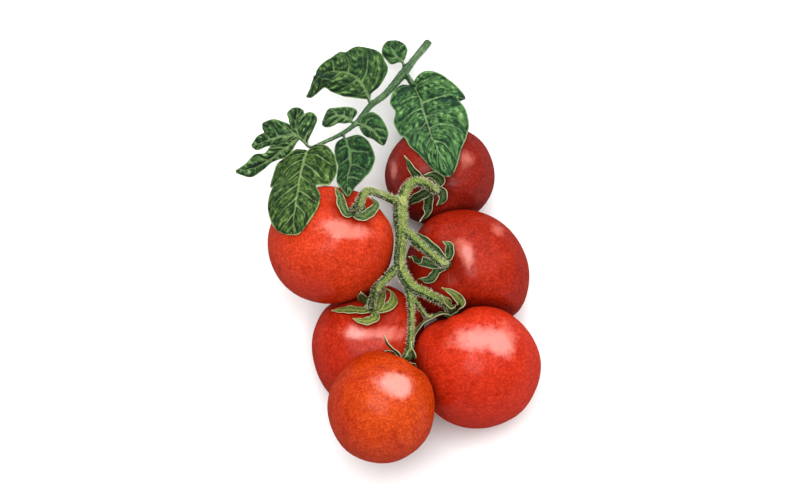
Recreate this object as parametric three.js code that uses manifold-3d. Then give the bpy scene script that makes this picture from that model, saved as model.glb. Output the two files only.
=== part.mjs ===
// A truss of six tomatoes with one leaf, picked and laid down on a table.
// Sizes are in millimetres, +Z is up, and the table is the plane z = 0.
//
// The shapes are set out as an eye sees them that looks down at the bunch at viewAngle above the
// table: [right, up, toward], where "toward" is the distance towards that eye. The whole bunch is
// then tipped back by tipBack, which lays it on the table.
import * as THREE from 'three';
import { mergeVertices } from 'three/addons/utils/BufferGeometryUtils.js';
import Module from 'manifold-3d';

const wasm = await Module();
wasm.setup();

const viewAngle = THREE.MathUtils.degToRad(70);
const tipBack = Math.PI / 2 - viewAngle;
const viewSin = Math.sin(viewAngle);
const viewCos = Math.cos(viewAngle);
const bunchMiddle = new THREE.Vector3(0, -7.8, 0); // what lies over the origin of the finished part
const gap = 0.4; // between pieces that touch
const tableSink = 0.8; // how deep the flat spots of the lowest fruits are pressed
const tableSize = 400;

// Fruit: middle as [right, up], half sizes as [across, up, toward], turn about the eye's line, and
// the direction of the stem end. A fruit that leans on others states its "toward"; the rest lie on
// the table.
const fruits = {
  back_right: {
    middle: [26, 38.5], half: [27.5, 25.5, 26], turn: 0, stemEnd: [-0.1, -0.25, 0.96],
    lobes: 5, phase: 0.4, colour: 0x8f1518, bulges: [],
  },
  left: {
    middle: [-28.5, 3.5], half: [31.5, 29.5, 30], turn: 0, stemEnd: [0.39, 0.6, 0.7],
    lobes: 6, phase: 1.1, colour: 0xc9301d, bulges: [], toward: 54,
  },
  right: {
    middle: [41, -8.5], half: [32, 28, 29], turn: -Math.PI / 4, stemEnd: [-0.41, 0.1, 0.9],
    lobes: 5, phase: 2.3, colour: 0xc4241d,
    bulges: [{ towards: [-0.9, -0.42, 0], height: 0.17, width: 0.6 }],
  },
  low_left: {
    middle: [-8, -48], half: [30, 32.2, 22], turn: 0, stemEnd: [0, 0.65, 0.76],
    lobes: 5, phase: 0.2, colour: 0xc2281b, bulges: [],
  },
  low_right: {
    middle: [45, -57.5], half: [31.2, 31, 33], turn: 0, stemEnd: [-0.44, 0.895, 0.03],
    lobes: 6, phase: 0.9, colour: 0xc8261d,
    bulges: [{ towards: [-0.89, 0.46, 0], height: 0.1, width: 0.4 }],
  },
  front: {
    middle: [-3.3, -77.4], half: [26.7, 28.1, 27], turn: 0, stemEnd: [0.44, 0.87, -0.2],
    lobes: 4, phase: 1.7, colour: 0xc8441f, bulges: [], toward: 79.9,
  },
};
// Fruits that press on each other, and the share of the squeeze that the first one takes; more
// than the whole leaves room for a bulge of the second.
const contacts = [
  ['back_right', 'right', 0.6],
  ['right', 'low_right', 0.85],
  ['left', 'low_left', 0.15],
  ['low_left', 'front', 0.7],
  ['low_left', 'low_right', 1.3],
  ['right', 'low_left', 1],
  ['low_right', 'front', 0.6],
];
const fruitMeridians = 26;
const fruitRows = 15;
const rowCrowding = 0.2; // brings the rows closer together near the dimple
const dimpleDepth = 0.13; // depths are shares of the radius, widths are angles from the stem end
const dimpleWidth = 0.3;
const lobeDepth = 0.018;
const lobeAngle = 0.6;
const lobeWidth = 0.4;
const scarDepth = 0.015;
const scarWidth = 0.25;
const squeezeSoftness = 1.0;

const ringHeight = 2.4; // green ring under each stem end
const ringRadius = 3.1;
const ringLift = 1.0; // above the bottom of the dimple
const sepalHalfWidth = 2.2;
const sepalEdge = 0.36; // half thickness at its edges
const sepalRidge = 0.75;
const sepalSteps = 6;
const sepalNarrowing = 0.12; // its width follows a sine, widest at a third of its length
const sepalWidthStart = 0.2;
const sepalWidthRun = 0.78;
const turnFrom = 3; // a sepal that lifts further than this turns its face to the eye
const turnOver = 5;
const turnMost = 1.6;

const lastBend = 3.5; // straight end of each fruit stalk
const stalkGap = 0.6; // between that end and the ring

const bladeHalfThickness = 0.42;
const bladeColumns = 3; // on each side of the midrib
const narrowest = 0.8; // half width of a blade at its two ends
const marginWave = 0.35;
const marginWaves = 4;
const marginWaveShift = 2; // sets the waves of the right margin off from those of the left
const archShare = 0.12; // how far the margins lie below the midrib
const restOnFruit = 1.25; // from the fruit's skin to the middle of a blade
const drapeSoftness = 1.5;

const stemColour = 0x7f9a45;
const sepalColour = 0x3f6a2c;
const stalkColour = 0x5c8a55;
const leafColour = 0x2f5f33;

const point = ([right, up, toward]) => new THREE.Vector3(right, up, toward);

function softMin(a, b, softness) {
  return -softness * Math.log(Math.exp(-a / softness) + Math.exp(-b / softness));
}

function softMax(a, b, softness) {
  return -softMin(-a, -b, softness);
}

// Reads a list of evenly spaced values at a share of the way along it.
function readAlong(values, along) {
  const slot = along * (values.length - 1);
  const before = Math.min(Math.floor(slot), values.length - 2);
  return THREE.MathUtils.lerp(values[before], values[before + 1], slot - before);
}

function toSolid(geometry) {
  const bare = geometry.clone();
  for (const name of Object.keys(bare.attributes)) {
    if (name !== 'position') bare.deleteAttribute(name);
  }
  const merged = mergeVertices(bare, 1e-4);
  return new wasm.Manifold(new wasm.Mesh({
    numProp: 3,
    vertProperties: new Float32Array(merged.attributes.position.array),
    triVerts: new Uint32Array(merged.index.array),
  }));
}

function toGeometry(solid) {
  const mesh = solid.getMesh();
  const geometry = new THREE.BufferGeometry();
  geometry.setAttribute('position', new THREE.BufferAttribute(mesh.vertProperties, 3));
  geometry.setIndex(new THREE.BufferAttribute(mesh.triVerts, 1));
  geometry.computeVertexNormals();
  return geometry;
}

// Joins closed shapes into one body; a scrap pinched off where two of them cross is dropped.
function fuse(geometries) {
  const joined = geometries.map(toSolid).reduce((all, next) => all.add(next));
  const bodies = joined.decompose().sort((a, b) => b.volume() - a.volume());
  return toGeometry(bodies[0]);
}

function makeMesh(name, geometry, colour, roughness) {
  const material = new THREE.MeshStandardMaterial({ color: colour, roughness, metalness: 0 });
  const mesh = new THREE.Mesh(geometry, material);
  mesh.name = name;
  return mesh;
}

// Closes a strip of sections, each a ring of points in the same order, with a cap at each end.
function closedLoft(sections) {
  const around = sections[0].length;
  const positions = sections.flat().flatMap((corner) => corner.toArray());
  const index = [];
  for (let step = 0; step < sections.length - 1; step += 1) {
    for (let side = 0; side < around; side += 1) {
      const a = step * around + side;
      const b = step * around + ((side + 1) % around);
      index.push(a, b, a + around, b, b + around, a + around);
    }
  }
  const last = (sections.length - 1) * around;
  for (let side = 1; side < around - 1; side += 1) {
    index.push(0, side + 1, side, last, last + side, last + side + 1);
  }
  const geometry = new THREE.BufferGeometry();
  geometry.setAttribute('position', new THREE.Float32BufferAttribute(positions, 3));
  geometry.setIndex(index);
  return geometry;
}

// A round stem along a smooth curve, with its radius read along it.
function taperedTube(places, radii, sides, steps) {
  const curve = new THREE.CatmullRomCurve3(places.map(point), false, 'centripetal');
  const frames = curve.computeFrenetFrames(steps, false);
  const sections = [];
  for (let step = 0; step <= steps; step += 1) {
    const along = step / steps;
    const centre = curve.getPointAt(along);
    const radius = readAlong(radii, along);
    const ring = [];
    for (let side = 0; side < sides; side += 1) {
      const angle = (2 * Math.PI * side) / sides;
      ring.push(centre.clone()
        .addScaledVector(frames.normals[step], radius * Math.cos(angle))
        .addScaledVector(frames.binormals[step], radius * Math.sin(angle)));
    }
    sections.push(ring);
  }
  return closedLoft(sections);
}

// Fruit: an egg of the three half sizes, dimpled at its stem end and softly lobed round it, then
// squeezed flat wherever it meets another fruit.
function prepareFruit(fruit) {
  const [, halfUp, halfToward] = fruit.half;
  const reachDown = Math.hypot(halfUp * viewCos, halfToward * viewSin);
  const resting = (reachDown - tableSink - fruit.middle[1] * viewCos) / viewSin;
  fruit.centre = new THREE.Vector3(...fruit.middle, fruit.toward ?? resting);
  fruit.axis = point(fruit.stemEnd).normalize();
  fruit.sideA = new THREE.Vector3(0, 1, 0).cross(fruit.axis).normalize();
  fruit.sideB = fruit.axis.clone().cross(fruit.sideA);
  fruit.squeezes = [];
}

function reachOf(fruit, direction) {
  const turned = direction.clone().applyAxisAngle(new THREE.Vector3(0, 0, 1), -fruit.turn);
  const [across, up, toward] = fruit.half;
  return Math.hypot(turned.x * across, turned.y * up, turned.z * toward);
}

function addContact([firstName, secondName, share]) {
  const first = fruits[firstName];
  const second = fruits[secondName];
  const normal = second.centre.clone().sub(first.centre);
  const distance = normal.length();
  normal.normalize();
  const overlap = reachOf(first, normal) + reachOf(second, normal) + gap - distance;
  first.squeezes.push({ normal, limit: reachOf(first, normal) - share * overlap });
  second.squeezes.push({
    normal: normal.clone().negate(),
    limit: reachOf(second, normal) - (1 - share) * overlap,
  });
}

function skinPoint(fruit, direction) {
  const polar = direction.angleTo(fruit.axis);
  const round = Math.atan2(direction.dot(fruit.sideB), direction.dot(fruit.sideA));
  const dimple = dimpleDepth * Math.exp(-((polar / dimpleWidth) ** 2));
  const shoulder = Math.exp(-(((polar - lobeAngle) / lobeWidth) ** 2));
  const lobes = lobeDepth * Math.cos(fruit.lobes * round + fruit.phase) * shoulder;
  const scar = scarDepth * Math.exp(-(((Math.PI - polar) / scarWidth) ** 2));
  const bulge = fruit.bulges.reduce((sum, { towards, height, width }) =>
    sum + height * Math.exp(-((direction.angleTo(point(towards)) / width) ** 2)), 0);
  const factor = 1 - dimple + lobes - scar + bulge;
  const turnAxis = new THREE.Vector3(0, 0, 1);
  const place = direction.clone().applyAxisAngle(turnAxis, -fruit.turn)
    .multiply(point(fruit.half))
    .multiplyScalar(factor)
    .applyAxisAngle(turnAxis, fruit.turn);
  for (const { normal, limit } of fruit.squeezes) {
    const height = place.dot(normal);
    place.addScaledVector(normal, softMin(height, limit, squeezeSoftness) - height);
  }
  return place.add(fruit.centre);
}

function tableBlock() {
  return toSolid(new THREE.BoxGeometry(tableSize, tableSize, tableSize)
    .translate(0, 0, -tableSize / 2)
    .rotateX(-tipBack));
}

function makeFruit(name, fruit) {
  const geometry = new THREE.SphereGeometry(1, fruitMeridians, fruitRows);
  const toAxis = new THREE.Quaternion().setFromUnitVectors(new THREE.Vector3(0, 1, 0), fruit.axis);
  const places = geometry.attributes.position;
  for (let i = 0; i < places.count; i += 1) {
    const direction = new THREE.Vector3().fromBufferAttribute(places, i).normalize();
    const polar = Math.acos(THREE.MathUtils.clamp(direction.y, -1, 1));
    const round = Math.atan2(direction.x, direction.z);
    const crowded = polar - rowCrowding * Math.sin(2 * polar);
    direction.setFromSphericalCoords(1, crowded, round).applyQuaternion(toAxis);
    places.setXYZ(i, ...skinPoint(fruit, direction).toArray());
  }
  const solid = toSolid(geometry).subtract(tableBlock());
  return makeMesh(`tomato_${name}`, toGeometry(solid), fruit.colour, 0.3);
}

// The front of a fruit as seen from the eye, grown by "clear", running on steeply past its edge.
function frontOf(fruit, right, up, clear) {
  const offset = new THREE.Vector3(right - fruit.centre.x, up - fruit.centre.y, 0)
    .applyAxisAngle(new THREE.Vector3(0, 0, 1), -fruit.turn);
  const [across, high, toward] = fruit.half;
  const share = (offset.x / (across + clear)) ** 2 + (offset.y / (high + clear)) ** 2;
  const bulge = share < 1 ? Math.sqrt(1 - share) : 1 - share;
  return fruit.centre.z + (toward + clear) * bulge;
}

// Calyx: a ring in the dimple and its sepals. Each sepal is a list of [right, up, lift]; the lift
// is above the skin of the fruit, or above the level of the ring where the stem end faces away.
const calyxes = {
  back_right: [
    [[22.3, 32.4, 2.2], [17, 35.8, 1.4], [13.5, 41, 2.4], [10.6, 46.8, 4]],
    [[23.8, 33, 2.2], [26.2, 35.4, 1.5], [23.4, 38.2, 1.9], [18.5, 38.6, 3.2]],
    [[24.6, 31.5, 2.2], [26.8, 30, 1.5], [27.2, 27.2, 2.6], [24.4, 24.8, 3.6]],
    [[22.8, 30.4, 2.2], [20.8, 28, 1.8], [20, 22, 2.2], [15.8, 15, 3]],
    [[22.2, 31.2, 2.2], [17, 28.8, 1.5], [13.5, 27, 1.6], [10.5, 24.6, 1.8]],
  ],
  left: [
    [[-17.8, 19.9, 2.2], [-20.2, 19.6, 1.5], [-22.8, 23, 1.8], [-24, 26, 2.6], [-26.3, 32.6, 14]],
    [[-16.6, 19.4, 2.2], [-14.4, 18.4, 1.6], [-12.8, 20.6, 2], [-12, 24, 2.6]],
    [[-16, 19.6, 2.2], [-12.4, 18, 1.7], [-8.6, 20, 2.4], [-5.8, 23.8, 14], [-8.2, 27.2, 12]],
    [[-16, 21.2, 2.2], [-13.8, 24, 1.4], [-12.4, 26.8, 1.6]],
  ],
  right: [
    [[29, -4, 2.2], [30.4, -0.5, 1.5], [30.7, 3, 2.6], [28.2, 4.4, 3.8]],
    [[28.2, -4.2, 2.2], [24.5, 0, 1.5], [20, 4.4, 2.6], [15.6, 7.9, 5]],
    [[28, -6, 2.2], [22.5, -5.9, 1.5], [18.5, -4.6, 2.4], [10.4, -2.4, 9.5]],
    [[28.4, -7, 2.2], [24.6, -8.8, 1.4], [23.8, -11.4, 1.8], [21.8, -13.4, 2.2], [18.4, -12.6, 3.2]],
  ],
  low_left: [
    [[-8.8, -27, 2.2], [-11.5, -25, 1.8], [-13.2, -21.8, 1.6], [-14, -19.4, 2.2]],
    [[-9.4, -28.2, 2.2], [-13, -28.6, 1.4], [-18.7, -29.2, 1.5], [-27.1, -30, 2.2]],
    [[-7, -29.6, 2.2], [-6, -31.8, 1.6], [-9, -34.2, 1.5], [-12.5, -34.8, 1.8], [-17, -34, 2.4]],
    [[-6.8, -28, 2.2], [-4.8, -27, 1.8], [-3.8, -24.2, 2], [-1.9, -19.8, 2.2]],
    [[-6, -28.6, 2.2], [-2.6, -28.4, 1.6], [1, -27.2, 1.8], [2.4, -24.4, 2], [0.8, -21.2, 2.4],
      [-1.6, -20.8, 3.4]],
  ],
  low_right: [
    [[32.4, -31.2, 1], [31.6, -27.6, 5.6], [29.2, -24.2, 9.6], [26.6, -21.4, 11.2]],
    [[33, -31.2, 1], [36.2, -28.6, 4.4], [36.2, -24.8, 7.6], [32, -20.4, 10.2], [26.8, -17.8, 10.8]],
    [[31.4, -31.6, 1], [26.4, -31.5, 2], [21.2, -33.6, 2.2], [16.2, -37.2, 2.4],
      [13.3, -41.4, 2.4], [12.6, -46, 2.4]],
    [[31.4, -32, -1], [24.5, -31.4, -3.5], [17.5, -34.4, -6]],
  ],
  front: [
    [[7, -54, 0], [4, -50, 0.5], [0, -46.4, 1.5], [-1.6, -41.6, 3]],
    [[9, -54.3, 0.8], [11.6, -52, 2.6], [12.2, -48.4, 4], [11.8, -44.4, 5.4]],
    [[7, -54.2, -0.6], [1.8, -49.8, -5], [-1.6, -49.4, -7]],
    [[8, -55.2, -1.5], [11.8, -55.8, -5], [14.2, -57.8, -8.5]],
  ],
};
const facesAway = ['low_right', 'front'];
const outlineShare = 0.97; // beyond this share of the outline a lift counts towards the eye

function ringTop(fruit) {
  const bottom = fruit.axis.clone().multiply(point(fruit.half)).multiplyScalar(1 - dimpleDepth);
  return bottom.add(fruit.centre).addScaledVector(fruit.axis, ringLift + ringHeight);
}

function liftedPlace(fruit, [right, up, lift]) {
  const turnAxis = new THREE.Vector3(0, 0, 1);
  const flat = new THREE.Vector3(right - fruit.centre.x, up - fruit.centre.y, 0)
    .applyAxisAngle(turnAxis, -fruit.turn)
    .divide(point(fruit.half));
  const share = flat.lengthSq();
  const others = Object.values(fruits).filter((other) => other !== fruit);
  const front = Math.max(...others.map((other) => frontOf(other, right, up, lift)));
  if (share > outlineShare) {
    return new THREE.Vector3(right, up, Math.max(fruit.centre.z + lift, front));
  }
  flat.z = Math.sqrt(1 - share);
  const direction = flat.applyAxisAngle(turnAxis, fruit.turn);
  const place = skinPoint(fruit, direction).addScaledVector(direction, lift);
  place.z = Math.max(place.z, front);
  return place;
}

function makeSepal(fruit, spots, toPlace) {
  const curve = new THREE.CatmullRomCurve3(spots.map(toPlace));
  const lifts = spots.map((spot) => spot[2]);
  const sections = [];
  for (let step = 0; step <= sepalSteps; step += 1) {
    const along = step / sepalSteps;
    const middle = curve.getPointAt(along);
    const outward = middle.clone().sub(fruit.centre).normalize();
    const lifted = (readAlong(lifts, along) - turnFrom) / turnOver;
    outward.z += THREE.MathUtils.clamp(lifted, 0, turnMost);
    outward.normalize();
    const tangent = curve.getTangentAt(along);
    const side = outward.clone().cross(tangent).normalize();
    const up = tangent.clone().cross(side).normalize();
    const wide = sepalNarrowing + Math.sin(Math.PI * (sepalWidthStart + sepalWidthRun * along));
    const half = sepalHalfWidth * wide;
    const corner = (across, high) => middle.clone()
      .addScaledVector(side, across)
      .addScaledVector(up, high);
    sections.push([
      corner(-half, -sepalEdge), corner(half, -sepalEdge), corner(half, sepalEdge),
      corner(0, sepalRidge), corner(-half, sepalEdge),
    ]);
  }
  return closedLoft(sections);
}

function makeCalyx(name, fruit) {
  const profile = [[0, 0], [0.7, 0], [1, 0.35], [0.95, 0.7], [0.72, 1], [0, 1]]
    .map(([out, high]) => new THREE.Vector2(out * ringRadius, high * ringHeight));
  const toAxis = new THREE.Quaternion().setFromUnitVectors(new THREE.Vector3(0, 1, 0), fruit.axis);
  const base = ringTop(fruit).addScaledVector(fruit.axis, -ringHeight);
  const ring = new THREE.LatheGeometry(profile, 10)
    .applyQuaternion(toAxis)
    .translate(base.x, base.y, base.z);
  const level = base.z + ringHeight / 2;
  const toPlace = facesAway.includes(name)
    ? ([right, up, lift]) => new THREE.Vector3(right, up, level + lift)
    : (spot) => liftedPlace(fruit, spot);
  const sepals = calyxes[name].map((spots) => makeSepal(fruit, spots, toPlace));
  return makeMesh(`calyx_${name}`, fuse([ring, ...sepals]), sepalColour, 0.6);
}

// Truss stem: each part is a list of places and the radii along it.
function makeTrussStem() {
  const endAt = (name, before) => {
    const fruit = fruits[name];
    return ringTop(fruit).addScaledVector(fruit.axis, stalkGap + before).toArray();
  };
  const intoRing = (name) => [endAt(name, lastBend), endAt(name, 0)];
  const parts = [
    { places: [[6.2, 26.5, 51], [6.2, 18, 54], [6.8, 8.5, 58], [5.7, -3, 61.5], [5.7, -9, 62.5]],
      radii: [2.9, 3.7, 3.1, 2.9, 2.8], sides: 9, steps: 8 },
    { places: [[6, 16, 54], [5.5, 13.5, 40], [5.4, 13.5, 20], [5, 16, 3], [5, 26, -4.8],
      [6.5, 41, -10.4], [10.5, 56, -15.8], [11.5, 70, -19.6], [13, 79, -15.5], [12.1, 84.4, -11.5],
      [10.8, 86.6, -13], [9.6, 87.9, -17.3]],
      radii: [2.8, 2.6, 2.6, 2.6, 2.6, 2.7, 2.7, 2.6, 2.4, 1.5, 1.5], sides: 8, steps: 24 },
    { places: [[6.5, 24.5, 52], [9.2, 31.5, 49.5], [13, 35, 47], [18.5, 34.6, 45.5],
      ...intoRing('back_right')],
      radii: [2.8, 2.6, 2.3, 2.3, 2, 2.2], sides: 8, steps: 9 },
    { places: [[6, 24.5, 52], [-1.9, 28, 60], [-7.6, 30, 68.5], [-11.6, 29.6, 75.5],
      ...intoRing('left')],
      radii: [2.6, 2.2, 2, 2.2, 2, 2.2], sides: 8, steps: 10 },
    { places: [[7, 10.5, 57.5], [10.5, 8.5, 59.5], [14.6, 4.6, 61.5], [20, 0, 64],
      ...intoRing('right')],
      radii: [2.6, 2.6, 2.2, 1.9, 2.1, 2.3], sides: 8, steps: 8 },
    { places: [[5.5, -6.5, 62], [-1.5, -14, 63.6], [-6.4, -19.4, 64.6], ...intoRing('low_left')],
      radii: [2.6, 2.1, 2.2, 1.9, 2.2], sides: 8, steps: 8 },
    { places: [[5.7, -7, 62], [8.5, -13, 62.8], [12, -17.6, 63.2], [18.3, -20.3, 63.2],
      [23, -22.8, 62], ...intoRing('low_right')],
      radii: [2.8, 3, 2.9, 2.4, 2.3, 2, 2.2], sides: 8, steps: 11 },
    { places: [[9.6, -16, 62.5], [11.4, -26, 65], [11.6, -37, 69], [10.9, -45, 72.5],
      ...intoRing('front')],
      radii: [1.9, 1.7, 1.6, 1.6, 1.7, 1.9], sides: 7, steps: 9 },
    { places: [[10.5, -17.5, 63], [12.6, -23, 63], [15.4, -27, 62.6], [18.6, -31.4, 61.6],
      [20.6, -32.6, 61.2], [22, -31, 61]],
      radii: [1.8, 1.4, 1.2, 1.1, 0.9, 0.6], sides: 6, steps: 7 },
  ];
  const tubes = parts.map(({ places, radii, sides, steps }) =>
    taperedTube(places, radii, sides, steps));
  const fork = new THREE.IcosahedronGeometry(3.6, 1).translate(6.2, 24.5, 52);
  return makeMesh('truss_stem', fuse([...tubes, fork]), stemColour, 0.6);
}

// Leaf: the stalk rises from its cut end to its tip, over the fruits.
const stalkPlaces = [
  [20.3, 105.5], [13.6, 97.5], [7.8, 90], [-2, 78.5], [-8.5, 73.5], [-16.5, 64], [-23, 59.3],
  [-29, 56.3], [-38.6, 52],
];
const cutEndHeight = 3.2;
const climb = 0.95;

function stalkToward(up) {
  const height = cutEndHeight + climb * (stalkPlaces[0][1] - up);
  return (height - up * viewCos) / viewSin;
}

// Leaflets: midrib, left and right margin from base to tip as [right, up], and the distances
// towards the eye read along the midrib.
const leaflets = {
  top: [{
    midrib: [[7.2, 95.6], [4.8, 98], [2.8, 100.5], [1.5, 103], [1.3, 106]],
    left: [[6.6, 95], [4.8, 95.2], [1.4, 94.4], [-1, 96.7], [-3, 99.5], [-2.7, 103.3], [-1, 105.6],
      [1, 106.3]],
    right: [[7.8, 96], [8.5, 97.5], [9.8, 101], [8.8, 103.9], [6, 105.9], [3.5, 106.3], [1.7, 106.4]],
    depths: [-20, -20.5, -21.5, -23, -25], rows: 8,
  }],
  large_right: [{
    midrib: [[12.6, 83], [16, 77.5], [18, 70], [20.3, 63], [22, 57.3], [25, 51.5], [30.5, 37.7]],
    left: [[11.6, 82.4], [6.5, 83.2], [3, 80.3], [1, 74.5], [3.7, 70], [3, 64.2], [6, 58.5],
      [8.3, 57.3], [11, 52.8], [15.7, 48.7], [19.7, 44.2], [22.6, 41.2], [27.2, 38.4], [30.3, 37.5]],
    right: [[13, 84.6], [16.2, 89.4], [20.9, 90.9], [26.6, 89.2], [31.7, 85.5], [36.4, 80.9],
      [38.7, 76.9], [35, 76.9], [38.7, 71.7], [40.4, 64.2], [39.2, 57.4], [36.4, 51], [34.7, 44.2],
      [32.3, 39], [30.7, 37.6]],
    depths: [-5.5, 3, 13, 24, 34, 41, 45], over: 'back_right', rows: 15,
  }],
  large_left: [{
    midrib: [[-9.6, 76.6], [-11.5, 81.5], [-15.5, 87], [-21, 90], [-28, 90.5], [-34, 88],
      [-37.5, 84], [-40.8, 78]],
    left: [[-10.4, 76.4], [-13.6, 76.9], [-18.2, 77.5], [-22.8, 78.3], [-28, 80.3], [-31, 82.3],
      [-33.2, 81.6], [-35.8, 79.4], [-38.3, 77.5], [-40.6, 77.6]],
    right: [[-8.8, 77], [-8, 80], [-3.8, 83.8], [-0.1, 91.2], [-1.5, 95.8], [-3.8, 99.8],
      [-9, 102.1], [-15.9, 103], [-21, 100.4], [-24, 100.4], [-28.5, 97.5], [-32, 95.3],
      [-35.4, 91.8], [-36, 88.5], [-37.4, 85.5], [-38.8, 82], [-41, 78.4]],
    depths: [7.5, 7, 5, 3.5, 1.5, -1, -3.5, -7], rows: 15,
  }],
  middle_left: [{
    midrib: [[-18.3, 65.4], [-20.8, 67.2], [-24.5, 68.4], [-29, 67.3], [-32.8, 64.6]],
    left: [[-18.6, 64.5], [-21.6, 64.5], [-25.6, 64.3], [-29, 62.6], [-32, 62.8], [-33, 64.2]],
    right: [[-17.7, 66.4], [-15.6, 70], [-17, 72], [-21, 72.7], [-25.6, 72.3], [-29.6, 71.7],
      [-31.3, 68.8], [-33, 65.2]],
    depths: [22, 23, 23, 22, 19.5], rows: 8,
  }],
  middle_right: [{
    midrib: [[-14.2, 63.6], [-11, 63], [-7.3, 60.5], [-4.5, 57], [-2.4, 53.5]],
    left: [[-14, 64.6], [-11.8, 68.6], [-7.8, 70], [-3.8, 67.7], [-1, 63], [0.2, 59], [-1, 55],
      [-2.1, 53.4]],
    right: [[-14.4, 62.4], [-11.8, 58.5], [-7.2, 56.2], [-3.8, 53.9], [-2.7, 53.3]],
    depths: [23.5, 24.5, 26.5, 28.5, 30], rows: 8,
  }],
  lower: [{
    midrib: [[-21.5, 56.6], [-20, 53], [-18.8, 48], [-18.8, 43], [-20, 37], [-20.3, 32], [-20, 27.8]],
    left: [[-22.4, 57], [-25.7, 54.5], [-26.8, 50], [-26.2, 47], [-25, 42], [-25.6, 35.5],
      [-23.8, 32], [-21.5, 29], [-20.3, 27.6]],
    right: [[-20.4, 57], [-15.3, 58.6], [-11.3, 56.8], [-8.4, 52.8], [-6.4, 47], [-8.4, 41],
      [-12, 36.8], [-16.5, 32], [-19.6, 27.8]],
    depths: [33, 37, 43, 49, 57, 63.5, 68.5], over: 'left', rows: 11,
  }],
  lobed_side: [
    {
      midrib: [[-40.6, 53.4], [-44, 57], [-46, 61], [-46, 66], [-45, 71.8]],
      left: [[-41.2, 53.2], [-45, 57], [-48, 60.6], [-48.8, 63.7], [-49.7, 66.4], [-50.4, 69.4],
        [-48.3, 71.7], [-45.2, 72.4]],
      right: [[-39.8, 54], [-39.6, 56.8], [-36.9, 62.3], [-35.4, 66.4], [-36.9, 69.2], [-39.6, 70],
        [-41.7, 69.2], [-42.4, 71], [-44.6, 72.4]],
      depths: [39.5, 39.2, 38.6, 38, 36.5], rows: 9,
    },
    {
      midrib: [[-45, 59], [-54, 57.5], [-61, 55.5], [-68, 53]],
      left: [[-45.5, 58], [-50, 55.4], [-55, 53.4], [-58.7, 53], [-61.7, 52.3], [-65.3, 50.9],
        [-68, 52.4]],
      right: [[-45, 60.2], [-48.8, 63.4], [-52.5, 65.3], [-56.6, 66.4], [-60.2, 65.8],
        [-62.9, 63.9], [-61, 60.3], [-64.9, 58.2], [-68.5, 53.6]],
      depths: [39.4, 38, 36, 33], rows: 8,
    },
    {
      midrib: [[-44.4, 57.4], [-50, 53], [-58, 47], [-66, 42.5], [-76, 40.3]],
      left: [[-44.2, 56.2], [-46, 54], [-48.8, 49.5], [-52.5, 47], [-58, 44.9], [-63, 40.8],
        [-68.5, 37.5], [-76.2, 39.6]],
      right: [[-45.4, 59.6], [-52, 57], [-58.5, 53], [-61.7, 49.5], [-66.7, 48.8], [-71.3, 44.2],
        [-76.4, 40.9]],
      depths: [38.2, 36.6, 34, 31.5, 29], rows: 8,
    },
  ],
  lobed_end: [{
    midrib: [[-40, 50.6], [-41.2, 48], [-42.5, 43.5], [-44, 37], [-45.3, 28], [-46.6, 19], [-48, 9]],
    left: [[-41, 50.8], [-46.5, 51], [-50.6, 47.6], [-55.2, 44], [-57, 39.3], [-58.7, 32.7],
      [-57.6, 32], [-59, 28.3], [-59.8, 22.8], [-59, 17.3], [-57, 12.7], [-53.3, 9.5], [-48.6, 8.4]],
    right: [[-39.2, 51.2], [-35.9, 53.6], [-32.2, 53.6], [-29.5, 52.2], [-27.2, 49], [-25.8, 44.8],
      [-25.4, 40.2], [-28, 34.8], [-30.4, 33.4], [-35.6, 33.2], [-34, 29.2], [-33.8, 26.5],
      [-35, 21.9], [-38.7, 16], [-42, 11.3], [-44.4, 8.9], [-47.4, 8.4]],
    depths: [42, 46, 52, 60, 69, 74, 77], over: 'left', rows: 16,
  }],
};

function makeStalk() {
  const place = ([right, up]) => [right, up, stalkToward(up)];
  const tubes = [
    [stalkPlaces.map(place), [2, 1.7, 2.3, 1.8, 1.6, 1.3, 1.1, 0.9], 8, 22],
    [[place([8.2, 90]), [10.6, 87, -9], [12.1, 84.2, -6.8]], [1.8, 1.3, 1.2], 7, 4],
    [[place([8, 91]), [7.6, 94.6, -19.6]], [1.1, 0.8], 6, 2],
    [[place([-8, 74]), [-9.4, 75.8, 7.6]], [1.3, 0.9], 6, 2],
    [[place([-16, 64.6]), [-17, 64.8, 21.9]], [1.2, 0.8], 6, 2],
    [[place([-16.5, 64]), [-14.9, 63.7, 23.2]], [1.2, 0.8], 6, 2],
    [[place([-23, 59.3]), [-21.8, 57.4, 32.1]], [1.1, 0.8], 6, 2],
    [[place([-38, 52.2]), [-39.9, 52.9, 39.2]], [0.9, 0.8], 6, 2],
  ];
  return makeMesh('leaf_stalk', fuse(tubes.map((tube) => taperedTube(...tube))), stalkColour, 0.6);
}

function spline(places) {
  return new THREE.SplineCurve(places.map(([right, up]) => new THREE.Vector2(right, up)));
}

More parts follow.
